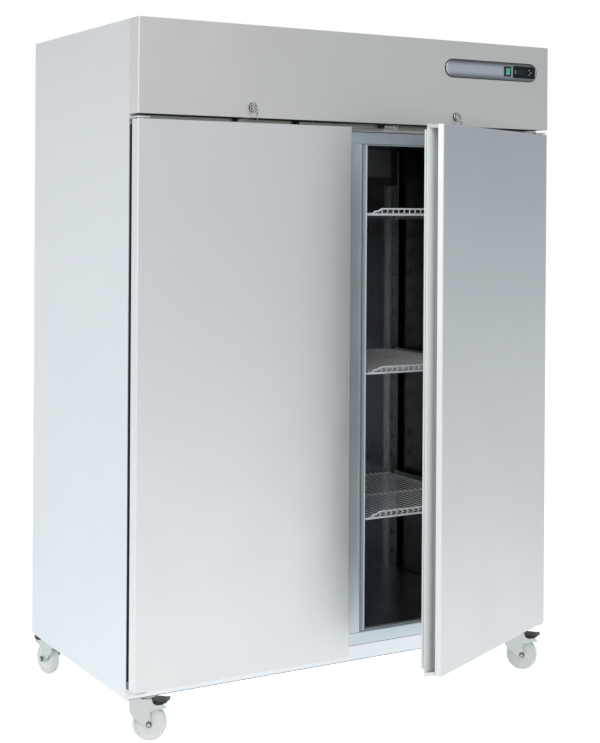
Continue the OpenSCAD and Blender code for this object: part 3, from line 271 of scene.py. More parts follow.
FINISHES = {
    "steel_side": satin("satin_steel_sides", (0.765, 0.815, 0.85), roughness=0.42),
    "steel_front": satin("satin_steel_front", (0.775, 0.80, 0.805), roughness=0.40),
    "steel_frame": satin("satin_steel_frame", (0.70, 0.79, 0.83), roughness=0.46),
    "steel_plinth": satin("satin_steel_plinth", (0.85, 0.895, 0.925), LEVEL_X, roughness=0.40),
    "galvanised": plated("galvanised_sheet", (0.62, 0.65, 0.68), roughness=0.42, blotch=0.22),
    "foam": moulded("insulation_foam", (0.80, 0.72, 0.48), roughness=0.85, grain=600.0, relief=0.5,
                    cloud=0.2),
    # The liner's grey is set darker than bare steel: painted shade inside the cabinet
    "liner": satin("satin_steel_liner", (0.30, 0.315, 0.335), roughness=0.30, contrast=0.02, relief=0.02,
                   wave=0.10),
    "mullion_grey": satin("satin_steel_post", (0.74, 0.81, 0.85), roughness=0.50),
    "strip_grey": moulded("breaker_strip", (0.40, 0.46, 0.50), roughness=0.42),
    "door_inner": satin("satin_steel_door_pan", (0.82, 0.85, 0.87), roughness=0.38),
    "gasket": moulded("soft_gasket", (0.92, 0.94, 0.94), roughness=0.36, grain=900.0, cloud=0.05, dust=0.04,
                      Coat_Weight=0.2),
    "bush": moulded("nylon_bush", (0.78, 0.76, 0.70), roughness=0.5),
    "steel": plated("zinc_plated_steel", (0.74, 0.76, 0.77), roughness=0.30),
    "rack": satin("rack_steel", (0.52, 0.54, 0.54), roughness=0.33),
    "shelf_white": moulded("coated_wire", (0.96, 0.975, 0.99), roughness=0.30, grain=500.0, relief=0.12,
                           cloud=0.05, Coat_Weight=0.4),
    "bezel": satin("bezel_metal", (0.56, 0.61, 0.66), LEVEL_X, roughness=0.34, lines=2600.0, contrast=0.16,
                   relief=0.10, wave=0.0),
    "black_plastic": moulded("black_plastic", (0.008, 0.010, 0.013), roughness=0.40,
                             Specular_IOR_Level=0.18),
    "rocker_green": moulded("rocker_green", (0.01, 0.34, 0.20), roughness=0.22, relief=0.03, Coat_Weight=0.5,
                            Emission_Color=(0.0, 0.45, 0.26, 1.0), Emission_Strength=0.18),
    "button_grey": moulded("button_grey", (0.040, 0.045, 0.050), roughness=0.42, Specular_IOR_Level=0.3),
    "chrome": plated("lock_chrome", (0.62, 0.63, 0.63), roughness=0.18, blotch=0.30, relief=0.05),
    "fins": satin("aluminium_fins", (0.76, 0.77, 0.78), roughness=0.34, contrast=0.1),
    "black_shell": moulded("black_enamel", (0.012, 0.012, 0.013), roughness=0.30, cloud=0.3,
                           Coat_Weight=0.4),
    "fan_black": moulded("fan_plastic", (0.014, 0.014, 0.015), roughness=0.42),
    "wheel_white": moulded("white_nylon", (0.88, 0.915, 0.90), roughness=0.34, cloud=0.05, dust=0.04,
                           Coat_Weight=0.15),
    "pedal": moulded("pedal_black", (0.012, 0.012, 0.013), roughness=0.36, relief=0.14,
                     Specular_IOR_Level=0.35),
}
HEADER_STEEL = satin("satin_steel_header", (0.735, 0.745, 0.72), roughness=0.40)
# The strip's darker olive grey is painted shade under the header
HEAD_STRIP = satin("satin_steel_head_strip", (0.50, 0.52, 0.48), LEVEL_X, roughness=0.42)
# Lit and shaded copies of the lock chrome: a painted highlight on the lock cylinders and collars, and painted
# dark reflections in blotches on the keys
CHROME_PAINTED_HIGHLIGHT = plated("lock_face_chrome", (0.86, 0.87, 0.87), roughness=0.12, blotch=0.10, relief=0.02)
KEY_NICKEL_PAINTED_DARK = plated("key_nickel", (0.50, 0.51, 0.51), roughness=0.18, blotch=0.60, relief=0.06)
STRIP_BEAD = moulded("strip_bead", (0.90, 0.93, 0.94), roughness=0.30, cloud=0.03, Coat_Weight=0.3)
END_PLATE = satin("satin_steel_end_plate", (0.52, 0.53, 0.54), roughness=0.40)
COVER_STEEL = satin("satin_steel_cover", (0.36, 0.38, 0.40), roughness=0.38)
# Black rubber, and also the dark of the painted shadow lines and rings
DARK_RUBBER_AND_PAINTED_SHADOW = moulded("dark_rubber_and_painted_shadow", (0.022, 0.025, 0.028), roughness=0.62, Specular_IOR_Level=0.3)
SCREW_STEEL = plated("screw_steel", (0.52, 0.53, 0.54), roughness=0.26, blotch=0.12)
WHITE_PRINT = moulded("white_print", (0.80, 0.82, 0.82), roughness=0.5, relief=0.02, cloud=0.03)
PALE_HOUSING = moulded("pale_housing", (0.66, 0.69, 0.72), roughness=0.42, cloud=0.05)
PALE_STRIP = satin("satin_steel_pale_strip", (0.80, 0.82, 0.79), LEVEL_X, roughness=0.40)
FORK_STEEL = plated("fork_steel", (0.57, 0.61, 0.60), roughness=0.34, blotch=0.06, relief=0.03)
BEIGE_SEAL = moulded("beige_seal", (0.52, 0.53, 0.47), roughness=0.6, cloud=0.10)
DISPLAY_GLASS = moulded("display_glass", (0.010, 0.013, 0.022), roughness=0.16, relief=0.0, cloud=0.3,
                        dust=0.0, Specular_IOR_Level=0.25)

# Nodes whose sheet looks different from the rest of its slot
OWN_FINISH = {"header_panel": HEADER_STEEL, "evaporator_cover": COVER_STEEL, "left_keys": KEY_NICKEL_PAINTED_DARK,
              "right_keys": KEY_NICKEL_PAINTED_DARK, "left_lock_cylinder": CHROME_PAINTED_HIGHLIGHT,
              "right_lock_cylinder": CHROME_PAINTED_HIGHLIGHT}
OWN_FINISH.update({f"{end}_{side}_fork": FORK_STEEL for end in ("front", "rear")
                   for side in ("left", "right")})


def dress_cad_nodes():
    slot_of = {part["node"]: part["material_slot"] for part in frame["record"]["subparts"]}
    for node, piece in frame["nodes"].items():
        finish = OWN_FINISH.get(node, FINISHES[slot_of[node]])
        for index in range(max(1, len(piece.data.materials))):
            if index < len(piece.data.materials):
                piece.data.materials[index] = finish
            else:
                piece.data.materials.append(finish)


dress_cad_nodes()

ALONG_X, ALONG_Y, ALONG_Z = (1.0, 0.0, 0.0), (0.0, 1.0, 0.0), (0.0, 0.0, 1.0)


def shade_along(finish, way, low, high, low_level, high_level, away_from=None):
    """Multiplies a finish's colour by a level that runs along a direction of its piece."""
    tree = finish.node_tree
    shader = next(node for node in tree.nodes if node.type == "BSDF_PRINCIPLED")
    source = shader.inputs["Base Color"].links[0].from_socket
    n = Nodes(tree, clear=False)
    place = n.add("ShaderNodeVectorMath", {0: n.place(), 1: way}, operation="DOT_PRODUCT").outputs["Value"]
    if away_from is not None:
        place = n.math("ABSOLUTE", n.math("SUBTRACT", place, away_from))
    level = n.mapped(place, low, high, low_level, high_level, smooth=True)
    tree.links.new(n.mixed(1.0, source, n.grey(level), "MULTIPLY"), shader.inputs["Base Color"])


# Painted light and shade on the liner: lighter low down, where light from the floor reaches it, and darker
# near its ceiling
shade_along(FINISHES["liner"], ALONG_Z, 0.7, 1.8, 1.42, 0.55)
# The side walls, which no light meets squarely, are the darkest
shade_along(FINISHES["liner"], ALONG_X, 0.62, 0.664, 1.0, 0.30, away_from=0.0)
# The post takes the shade of the doors' edges along its middle
shade_along(FINISHES["mullion_grey"], ALONG_X, 0.004, 0.052, 0.86, 1.04, away_from=0.0)


# Mesh building blocks

def new_piece(name, points, faces, finish, smooth_angle=40.0):
    mesh = bpy.data.meshes.new(name)
    mesh.from_pydata([tuple(p) for p in points], [], faces)
    mesh.validate()
    mesh.update()
    mesh.materials.append(finish)
    for polygon in mesh.polygons:
        polygon.use_smooth = True
    mesh.set_sharp_from_angle(angle=math.radians(smooth_angle))
    piece = bpy.data.objects.new(name, mesh)
    bpy.context.scene.collection.objects.link(piece)
    return piece


def finish_piece(piece, body):
    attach(piece, body)
    return piece


def rounded(points, radius, steps=3):
    """A closed outline with its corners rounded."""
    result = []
    count = len(points)
    for i, b in enumerate(points):
        b = Vector(b)
        u = Vector(points[i - 1]) - b
        v = Vector(points[(i + 1) % count]) - b
        angle = u.angle(v)
        cut = min(radius / math.tan(angle / 2), 0.45 * u.length, 0.45 * v.length)
        start, end = b + u.normalized() * cut, b + v.normalized() * cut
        for k in range(steps + 1):
            t = k / steps
            result.append(start.lerp(b, t).lerp(b.lerp(end, t), t))
    return result


def swung(point):
    """A point of the right door, drawn closed, where it stands ajar."""
    p = Vector(point) - PIVOT
    return OPENED @ p + PIVOT


def mirrored(point):
    return Vector((-point[0], point[1], point[2]))


class Wires:
    """Several round wires gathered into one mesh."""

    def __init__(self):
        self.points = []
        self.faces = []

    def wire(self, path, diameter, sides=10, closed=False):
        path = [Vector(p) for p in path]
        count = len(path)
        start = len(self.points)
        previous = None
        for i, p in enumerate(path):
            before = path[i - 1] if closed or i > 0 else p
            after = path[(i + 1) % count] if closed or i < count - 1 else p
            way = (after - before).normalized()
            if previous is None:
                side = way.orthogonal().normalized()
            else:
                side = (previous - way * previous.dot(way)).normalized()
            previous = side
            other = way.cross(side)
            # A bend keeps its thickness
            here_in = (p - before).normalized() if before != p else way
            stretch = 1.0 / max(0.75, here_in.dot(way))
            for k in range(sides):
                a = 2 * math.pi * k / sides
                self.points.append(p + (side * math.cos(a) + other * math.sin(a)) * diameter / 2 * stretch)
        rings = count if closed else count - 1
        for i in range(rings):
            a, b = start + i * sides, start + ((i + 1) % count) * sides
            for k in range(sides):
                m = (k + 1) % sides
                self.faces.append((a + k, a + m, b + m, b + k))
        if not closed:
            self.faces.append(tuple(start + k for k in reversed(range(sides))))
            self.faces.append(tuple(start + (count - 1) * sides + k for k in range(sides)))

    def piece(self, name, finish):
        return new_piece(name, self.points, self.faces, finish, 50.0)


def bent(points, radius, steps=4):
    """An open path with its corners bent to a radius."""
    points = [Vector(p) for p in points]
    result = [points[0]]
    for a, b, c in zip(points, points[1:], points[2:]):
        u, v = a - b, c - b
        angle = u.angle(v)
        if angle > 3.1:
            result.append(b)
            continue
        cut = min(radius / math.tan(angle / 2), 0.48 * u.length, 0.48 * v.length)
        start, end = b + u.normalized() * cut, b + v.normalized() * cut
        for k in range(steps + 1):
            t = k / steps
            result.append(start.lerp(b, t).lerp(b.lerp(end, t), t))
    result.append(points[-1])
    return result


# Shelves of coated wire

SHELF_LEVELS = {"bottom": 0.558, "middle": 1.017, "top": 1.520}
SHELF_X = (0.090, 0.611)
SHELF_Y = (0.0985, 0.7415)
ROD, WIRE, PITCH, LIP = 0.007, 0.004, 0.0212, 0.0185
LIP_ROD = 0.0058
# Room beside the outer wires on both sides together, and how far a wire sinks into the rods that carry it
SIDE_ROOM, SUNK = 0.030, 0.001
# The lip's top wire from either end: distance in from the frame's rod, and height over it
LIP_STEPS = ((0.022, 0.0), (0.031, 0.0100), (0.044, 0.0108), (0.057, LIP))


def wire_shelf(side, level):
    flip = mirrored if side == "left" else Vector
    z = SHELF_LEVELS[level] + ROD / 2
    (x0, x1), (y0, y1) = SHELF_X, SHELF_Y
    made = Wires()

    def wire(path, diameter, sides=10, closed=False):
        made.wire([flip(p) for p in path], diameter, sides, closed)

    corner = 0.010
    ring = []
    for cx, cy, a0 in ((x1 - corner, y1 - corner, 0), (x0 + corner, y1 - corner, 90),
                       (x0 + corner, y0 + corner, 180), (x1 - corner, y0 + corner, 270)):
        for k in range(6):
            a = math.radians(a0 + 18 * k)
            ring.append((cx + corner * math.cos(a), cy + corner * math.sin(a), z))
    wire(ring, ROD, 14, closed=True)
    wire([(x0, (y0 + y1) / 2, z), (x1, (y0 + y1) / 2, z)], ROD, 12)
    count = int((x1 - x0 - SIDE_ROOM) / PITCH)
    first = (x0 + x1 - count * PITCH) / 2
    wire_z = z + ROD / 2 + WIRE / 2 - SUNK
    for i in range(count + 1):
        x = first + i * PITCH
        path = [(x, y1 + 0.001, wire_z), (x, y0, wire_z)]
        if 2 <= i <= count - 2:
            path = bent([(x, y1 + 0.001, wire_z), (x, y0, wire_z), (x, y0, z + LIP)], 0.005, 4)
        wire(path, WIRE, 8)
    lip = [(x0 + a, y0, z + h) for a, h in LIP_STEPS] + [(x1 - a, y0, z + h) for a, h in reversed(LIP_STEPS)]
    wire(bent(lip, 0.008, 5), LIP_ROD, 12)
    node = f"{side}_{level}_shelf"
    piece = made.piece(f"{node}_wires", FINISHES["shelf_white"])
    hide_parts(node)
    return finish_piece(piece, node)


for side in ("left", "right"):
    for level in SHELF_LEVELS:
        wire_shelf(side, level)


# Door gaskets

SEAL_X = (0.019, 0.726)
SEAL_Z = (0.186, 1.776)
SEAL_Y0 = 0.0443
# Section of the magnetic gasket in millimetres: distance from its outer edge, and height over the door
GASKET_SECTION = [(4, 0), (20, 0), (20.4, 3.2), (17.4, 4.8), (20.6, 7.4), (17.2, 10.0), (22.6, 11.2),
                  (24, 12.8), (24, 16.0), (22.6, 17.35), (1.4, 17.35), (0, 16.0), (0, 12.8), (1.4, 11.2),
                  (6.8, 10.0), (3.4, 7.4), (6.6, 4.8), (3.6, 3.2)]


def door_gasket(side):
    place = mirrored if side == "left" else swung
    section = [(p.x / 1000, p.y / 1000) for p in rounded(GASKET_SECTION, 0.9, 3)]
    points, faces = [], []
    for corner in range(4):
        for a, h in section:
            x = SEAL_X[0] + a if corner in (0, 3) else SEAL_X[1] - a
            z = SEAL_Z[0] + a if corner in (0, 1) else SEAL_Z[1] - a
            points.append(place((x, SEAL_Y0 + h, z)))
    m = len(section)
    for corner in range(4):
        following = (corner + 1) % 4
        for k in range(m):
            j = (k + 1) % m
            quad = (corner * m + k, following * m + k, following * m + j, corner * m + j)
            faces.append(quad if side == "left" else quad[::-1])
    node = f"{side}_door_gasket"
    piece = new_piece(f"{node}_bellows", points, faces, FINISHES["gasket"], 60.0)
    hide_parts(node)
    return finish_piece(piece, f"{side}_door")


for side in ("left", "right"):
    door_gasket(side)


# Small solids gathered into one mesh

def moved_in(outline, inset):
    """An anticlockwise outline moved inwards."""
    result = []
    for i, b in enumerate(outline):
        a, b, c = Vector(outline[i - 1]), Vector(b), Vector(outline[(i + 1) % len(outline)])
        u, v = (b - a).normalized(), (c - b).normalized()
        first, second = Vector((-u.y, u.x)), Vector((-v.y, v.x))
        middle = (first + second).normalized()
        result.append(b + middle * inset / max(0.3, middle.dot(first)))
    return result


class Solids:
    """Plates and turned pieces, each placed by a function of two directions in its plane and a height."""

    def __init__(self):
        self.points = []
        self.faces = []

    def rings(self, rings):
        start, m = len(self.points), len(rings[0])
        for ring in rings:
            self.points.extend(ring)
        for i in range(len(rings) - 1):
            a, b = start + i * m, start + (i + 1) * m
            for k in range(m):
                j = (k + 1) % m
                self.faces.append((a + k, a + j, b + j, b + k))
        last = start + (len(rings) - 1) * m
        self.faces.append(tuple(reversed(range(start, start + m))))
        self.faces.append(tuple(range(last, last + m)))

    def plate(self, outline, place, depth, bevel=0.0002, base=0.0, steps=3):
        rings = [[place(a, b, base) for a, b in outline]]
        for k in range(steps + 1):
            t = math.pi / 2 * k / steps
            ring = moved_in(outline, bevel * (1 - math.cos(t)))
            rings.append([place(p.x, p.y, depth - bevel * (1 - math.sin(t))) for p in ring])
        self.rings(rings)

    def turned(self, profile, place, sides=24):
        around = [2 * math.pi * k / sides for k in range(sides)]
        self.rings([[place(r * math.cos(a), r * math.sin(a), h) for a in around] for r, h in profile])

    def ring(self, inner, outer, place, depth, base=0.0, sides=32):
        """A flat ring with softened edges."""
        soft = min(0.25 * (outer - inner), 0.3 * (depth - base))
        section = [(outer, base), (outer, depth - soft), (outer - soft, depth), (inner + soft, depth),
                   (inner, depth - soft), (inner, base)]
        start, m = len(self.points), len(section)
        for k in range(sides):
            a = 2 * math.pi * k / sides
            self.points.extend(place(r * math.cos(a), r * math.sin(a), h) for r, h in section)
        for k in range(sides):
            a, b = start + k * m, start + ((k + 1) % sides) * m
            for i in range(m):
                j = (i + 1) % m
                self.faces.append((a + i, b + i, b + j, a + j))

    def piece(self, name, finish, angle=35.0):
        return new_piece(name, self.points, self.faces, finish, angle)


def rectangle(w, h, radius=0.0, steps=3):
    corners = [(-w / 2, -h / 2), (w / 2, -h / 2), (w / 2, h / 2), (-w / 2, h / 2)]
    return [(p.x, p.y) for p in rounded(corners, radius, steps)] if radius else corners


def stadium(w, h, steps=16):
    """An outline with straight edges above and below and a half round at each end."""
    r = h / 2
    outline = []
    for middle, first in ((w / 2 - r, -90), (-w / 2 + r, 90)):
        for k in range(steps + 1):
            a = math.radians(first + 180 * k / steps)
            outline.append((middle + r * math.cos(a), r * math.sin(a)))
    return outline


def on_front(x, z, y=0.0):
    return lambda a, b, h: Vector((x + a, y - h, z + b))


def on_rear(x, z, y):
    return lambda a, b, h: Vector((x - a, y + h, z + b))


def on_top(x, y, z):
    return lambda a, b, h: Vector((x + a, y + b, z + h))


def plates(name, finish, body, slot_name, *given):
    """A piece made of plates, each given by its outline, place, depth, bevel and base."""
    made = Solids()
    for plate in given:
        made.plate(*plate)
    return finish_piece(made.piece(name, finish), body)


# Controls on the header

def control_bezel():
    place = on_front(BEZEL_X, BEZEL_Z)
    # Painted shade: darker towards the rolled edges above and below
    shade_along(FINISHES["bezel"], ALONG_Z, 0.12 * BEZEL_H, 0.47 * BEZEL_H, 1.0, 0.26, away_from=BEZEL_Z)
    # Inset from the outline and height over the header, in millimetres
    pillow = [(2.0, 2.3), (2.1, 3.3), (2.7, 3.9), (4.5, 4.4), (8.0, 4.8), (13.0, 4.95), (18.0, 4.98)]
    rings = []
    for inset, h in pillow:
        outline = stadium(BEZEL_W - inset / 500, BEZEL_H - inset / 500, 24)
        rings.append([place(a, b, h / 1000) for a, b in outline])
    body = Solids()
    body.rings(rings)
    piece = body.piece("control_bezel_pillow", FINISHES["bezel"], 50.0)
    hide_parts("control_bezel")
    finish_piece(piece, "cabinet")
    plates("control_bezel_seal", DARK_RUBBER_AND_PAINTED_SHADOW, "cabinet", "black_plastic",
           (stadium(BEZEL_W, BEZEL_H, 24), place, 0.0024, 0.0009, 0.0001))


# Front of the black housings on the bezel, and of the keys that stand out of it
HOUSING_FRONT = 0.0076
KEY_FRONT = 0.0086


def controller_details():
    plates("display_lens", DISPLAY_GLASS, "cabinet", "black_plastic",
           (rectangle(0.0412, 0.0192, 0.0015), on_front(PANEL_X - 0.010, BEZEL_Z), 0.0073, 0.0003, 0.0067))
    # A raised line over and under the display, and a column of lamp windows on its left
    raised, sunk = HOUSING_FRONT + 0.0003, HOUSING_FRONT - 0.0002
    ribs = [(rectangle(0.064, 0.0008, 0.0003), on_front(PANEL_X - 0.004, BEZEL_Z + dz), raised, 0.0002, sunk)
            for dz in (-0.0126, 0.0126)]
    plates("controller_ribs", FINISHES["black_plastic"], "cabinet", "black_plastic", *ribs)
    lamps = [(rectangle(w, 0.0017, 0.0005), on_front(PANEL_X - 0.0372, BEZEL_Z + dz), raised, 0.0002, sunk)
             for dz, w in ((0.0035, 0.0030), (-0.0005, 0.0042), (-0.0045, 0.0026))]
    plates("controller_lamps", WHITE_PRINT, "cabinet", "button_grey", *lamps)
    up = [(-0.0022, -0.0013), (0.0022, -0.0013), (0.0, 0.0018)]
    down = [(-x, -z) for x, z in up]
    for name, x, z, arrow in (("up_button", BUTTON_X, BUTTON_STEP, up),
                              ("down_button", BUTTON_X, -BUTTON_STEP, down),
                              ("set_button", BUTTON_X + BUTTON_STEP, 0.0, None)):
        mark = Solids()
        place = on_front(x, BEZEL_Z + z)
        if arrow:
            mark.plate(arrow, place, KEY_FRONT + 0.0002, 0.0001, KEY_FRONT - 0.0001)
        else:
            mark.ring(0.0011, 0.0019, place, KEY_FRONT + 0.0002, KEY_FRONT - 0.0001, 24)
        finish_piece(mark.piece(f"{name}_mark", WHITE_PRINT), name)


def rocker_marks():
    """The bar and the ring on the two halves of the rocker."""
    tilt, pin_y = math.radians(4), FACE_Y + 0.003
    slope = math.atan2(1.4, 10.2)

    def on_half(sign):
        def place(a, b, h):
            # Along the rocker's half from its middle, then out of its face
            z = sign * 0.0055 + b
            y = -0.005 - abs(z) * math.tan(slope) - h
            return Vector((SWITCH_X + a, pin_y + y * math.cos(tilt) - z * math.sin(tilt),
                           BEZEL_Z + y * math.sin(tilt) + z * math.cos(tilt)))
        return place

    marks = Solids()
    marks.plate(rectangle(0.0010, 0.0048, 0.0003), on_half(1), 0.00025, 0.0001, -0.0001)
    marks.ring(0.0014, 0.0023, on_half(-1), 0.00025, -0.0001, 24)
    finish_piece(marks.piece("rocker_marks", WHITE_PRINT), "rocker_switch")


control_bezel()
controller_details()
rocker_marks()


# Locks

def lock_details():
    for side, x in LOCKS.items():
        face = on_front(x, LOCK_Z)
        dark = Solids()
        # A black washer under the housing's flange that also paints its shadow, and a dark ring of painted
        # shade in the gap round the cylinder
        dark.ring(0.0090, 0.0146, face, 0.0009, 0.00005, 40)
        dark.ring(0.00712, 0.0092, face, 0.0034, 0.0028, 40)
        finish_piece(dark.piece(f"{side}_lock_washer_and_painted_shade", DARK_RUBBER_AND_PAINTED_SHADOW), "cabinet")
        collar = Solids()
        collar.ring(0.0094, 0.0116, face, 0.0038, 0.0029, 40)
        finish_piece(collar.piece(f"{side}_lock_collar", CHROME_PAINTED_HIGHLIGHT), "cabinet")


lock_details()


# Screws and rivets

# Radius and height along each head's section
SCREW = [(0.0038, 0.0), (0.0038, 0.0006), (0.0032, 0.0013), (0.0021, 0.0017), (0.0014, 0.00175),
         (0.0012, 0.0009), (0.0001, 0.0009)]
RIVET = [(0.0036, 0.0), (0.0034, 0.0004), (0.0026, 0.0008), (0.0013, 0.0009), (0.0010, 0.0006),
         (0.0001, 0.0006)]


def spread(low, high, count):
    return [low + (high - low) * k / (count - 1) for k in range(count)]


def rear_fasteners():
    rear_y = DEPTH - 0.001
    heads = Solids()
    for x in (-0.705, 0.705):
        for z in spread(0.20, DECK_Z - 0.05, 7):
            heads.turned(RIVET, on_rear(x, z, rear_y))
        for z in (DECK_Z + 0.022, 1.95, HEIGHT - 0.022):
            heads.turned(RIVET, on_rear(x, z, rear_y))
    for x in spread(-0.60, 0.60, 5):
        heads.turned(RIVET, on_rear(x, DECK_Z + 0.018, rear_y))
        heads.turned(RIVET, on_rear(x, BASE_Z + 0.03, rear_y))
    finish_piece(heads.piece("rear_rivets", SCREW_STEEL), "cabinet")


def top_fasteners():
    heads = Solids()
    top_z = HEIGHT - 0.006
    for x in spread(-0.69, 0.69, 7):
        heads.turned(SCREW, on_top(x, 0.085, top_z))
        heads.turned(SCREW, on_top(x, DEPTH - 0.025, top_z))
    for x in (-0.715, 0.715):
        for y in spread(0.20, 0.70, 3):
            heads.turned(SCREW, on_top(x, y, top_z))
    finish_piece(heads.piece("top_cover_screws", SCREW_STEEL), "cabinet")


def inside_fasteners():
    heads = Solids()
    cover_y, cover_z = 0.560, CEILING_Z - 0.098
    for x in spread(-0.475, 0.475, 6):
        heads.turned(SCREW, on_front(x, CEILING_Z - 0.010, cover_y))
        heads.turned(SCREW, on_front(x, cover_z + 0.008, cover_y))
    finish_piece(heads.piece("evaporator_cover_screws", SCREW_STEEL), "cabinet")


def hinge_fasteners():
    heads = Solids()
    for s in (-1, 1):
        for z in (DOOR_Z0 - 0.016, DOOR_Z1 + 0.0085):
            for dx in (-0.016, 0.006):
                place = on_front(s * (HINGE_X + dx), z, FRAME_Y - 0.004)
                heads.turned([(r * 0.72, h) for r, h in SCREW], place, 20)
    finish_piece(heads.piece("hinge_screws", SCREW_STEEL), "cabinet")


rear_fasteners()
top_fasteners()
inside_fasteners()
hinge_fasteners()


# Castor axles

# Radius and height of the nut's section, out from its washer
AXLE_NUT = [(0.0060, 0.0), (0.0060, 0.0026), (0.0052, 0.0032), (0.0034, 0.0033), (0.0028, 0.0040),
            (0.0001, 0.0042)]
# How far from the axle's middle line a fork's points still tell where its ends are
AXLE_NEAR = 0.012


def level_way(degrees):
    return Vector((math.cos(math.radians(degrees)), math.sin(math.radians(degrees)), 0.0))


def spread_along(points, way):
    reach = [p.dot(way) for p in points]
    return max(reach) - min(reach)


def thinnest_way(points):
    """The level direction in which a round flat piece, such as a wheel, is thinnest."""
    best = min(range(180), key=lambda k: spread_along(points, level_way(k)))
    return level_way(best)


def castor_axles():
    """A washer and a domed nut on both ends of each castor's axle."""
    for end in ("front", "rear"):
        for side in ("left", "right"):
            wheel = [v.co.copy() for v in frame["nodes"][f"{end}_{side}_wheel"].data.vertices]
            low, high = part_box(f"{end}_{side}_wheel")
            centre = (Vector(low) + Vector(high)) / 2
            axis = thinnest_way(wheel)
            across = Vector((-axis.y, axis.x, 0.0))
            fork = [v.co - centre for v in frame["nodes"][f"{end}_{side}_fork"].data.vertices]
            near = [p.dot(axis) for p in fork if (p - axis * p.dot(axis)).length < AXLE_NEAR]
            washers, nuts = Solids(), Solids()
            for sign, reach in ((1, max(near)), (-1, -min(near))):
                def place(a, b, h, sign=sign, reach=reach):
                    return centre + axis * sign * (reach + h) + across * sign * a + Vector((0.0, 0.0, b))
                washers.ring(0.0030, 0.0082, place, 0.0009, -0.0008, 28)
                nuts.turned(AXLE_NUT, place, 6)
            body = f"{end}_{side}_swivel"
            finish_piece(washers.piece(f"{end}_{side}_axle_washers", DARK_RUBBER_AND_PAINTED_SHADOW), body)
            finish_piece(nuts.piece(f"{end}_{side}_axle_nuts", SCREW_STEEL), body)


castor_axles()


# Strips, door switches and seals in the gap between doors and header

# Bottom and top of the gap, and how far back its pieces lie
GAP_Z0, GAP_Z1 = 1.7940, 1.8066
GAP_BACK = 0.0600
HEAD_FACE = 0.0619
# The painted shadow line under the header stops this far from the middle of each lock
LOCK_CLEAR = 0.016


def head_strips():
    """The strip over the opening, darkened as painted shade, its pale ledge, a dark joint line under it, and
    a painted shadow line under the header.
    """
    plates("head_strip", HEAD_STRIP, "cabinet", "steel_frame",
           (rectangle(1.38, 0.0226, 0.001), on_front(0.0, 1.7952, HEAD_FACE), 0.0017, 0.0006))
    plates("head_strip_ledge", PALE_STRIP, "cabinet", "steel_frame",
           (rectangle(1.36, 0.0090, 0.001), on_front(0.0, 1.7870, 0.0603), 0.0012, 0.0005))
    lines = [(rectangle(1.36, 0.0016, 0.0004), on_front(0.0, 1.7813, HEAD_FACE), 0.0010, 0.0003)]
    # Painted shadow under the header, broken at the locks
    for x0, x1 in ((-HINGE_X, LOCKS["left"] - LOCK_CLEAR),
                   (LOCKS["left"] + LOCK_CLEAR, LOCKS["right"] - LOCK_CLEAR),
                   (LOCKS["right"] + LOCK_CLEAR, 0.700)):
        lines.append((rectangle(x1 - x0, 0.0014, 0.0003),
                      on_front((x0 + x1) / 2, HEADER_Z - 0.0008, 0.0560), 0.0480, 0.0003))
    plates("head_joint_and_painted_shadow_lines", DARK_RUBBER_AND_PAINTED_SHADOW, "cabinet", "black_plastic", *lines)


def door_switches():
    """A switch with its plunger and lever over each door."""
    middle, height = (GAP_Z0 + GAP_Z1) / 2, GAP_Z1 - GAP_Z0
    lever = [(-0.003, -0.010), (0.001, -0.010), (0.009, 0.0055), (0.004, 0.0055), (-0.001, -0.003),
             (-0.006, 0.0055), (-0.010, 0.0055)]
    for side, x in (("left", -0.197), ("right", 0.113)):
        plates(f"{side}_switch_plunger", DARK_RUBBER_AND_PAINTED_SHADOW, "cabinet", "black_plastic",
               (rectangle(0.013, height, 0.0015), on_front(x, middle, GAP_BACK), 0.018, 0.0015))
        plates(f"{side}_door_switch", PALE_HOUSING, "cabinet", "bush",
               (rectangle(0.052, height - 0.003, 0.002), on_front(x + 0.034, middle - 0.001, GAP_BACK),
                0.012, 0.0012))
        plates(f"{side}_switch_lever", WHITE_PRINT, "cabinet", "bush",
               (lever, on_front(x + 0.052, middle, GAP_BACK - 0.012), 0.0028, 0.0004))


def gap_seals():
    """A cable plug over the left door, and the seal at the head of the post."""
    plates("left_cable_plug", DARK_RUBBER_AND_PAINTED_SHADOW, "cabinet", "black_plastic",
           (rectangle(0.010, 0.009, 0.0015), on_front(-0.405, 1.8020, 0.050), 0.010, 0.0012, -0.0100))
    plates("post_head_seal", BEIGE_SEAL, "cabinet", "bush",
           (rectangle(0.124, 0.0062, 0.002), on_front(0.064, 1.7882, GAP_BACK), 0.0022, 0.0010))


head_strips()
door_switches()
gap_seals()


# Grip profiles of the doors

# Bottom and top of the plastic profile in a door's grip
GRIP_Z = (DOOR_Z0 + 0.0113, DOOR_Z1 - 0.0113)
# Its section in millimetres, drawn closed for the right door
LIP_T, CHANNEL_W, CHANNEL_D, FLANGE_X = 21.0, 20.0, 24.0, 3.0


def grip_section(skin_gap):
    """The channel's surface, a gap off the skin, from the lip's edge round to the flange's rear corner."""
    r = CHANNEL_W / 2 - skin_gap
    centre = (LIP_X * 1000 + CHANNEL_D, LIP_T + CHANNEL_W / 2)
    path = [(LIP_X * 1000 + 0.9, LIP_T + skin_gap)]
    path += [(centre[0] + r * math.cos(math.radians(a)), centre[1] + r * math.sin(math.radians(a)))
             for a in range(-90, 91, 10)]
    edge = FLANGE_X - skin_gap
    flange_front = LIP_T + CHANNEL_W - skin_gap
    path += [(edge + 1.5, flange_front), (edge + 0.5, flange_front + 0.35), (edge, flange_front + 1.3),
             (edge, DOOR_T * 1000 - 0.9)]
    return path


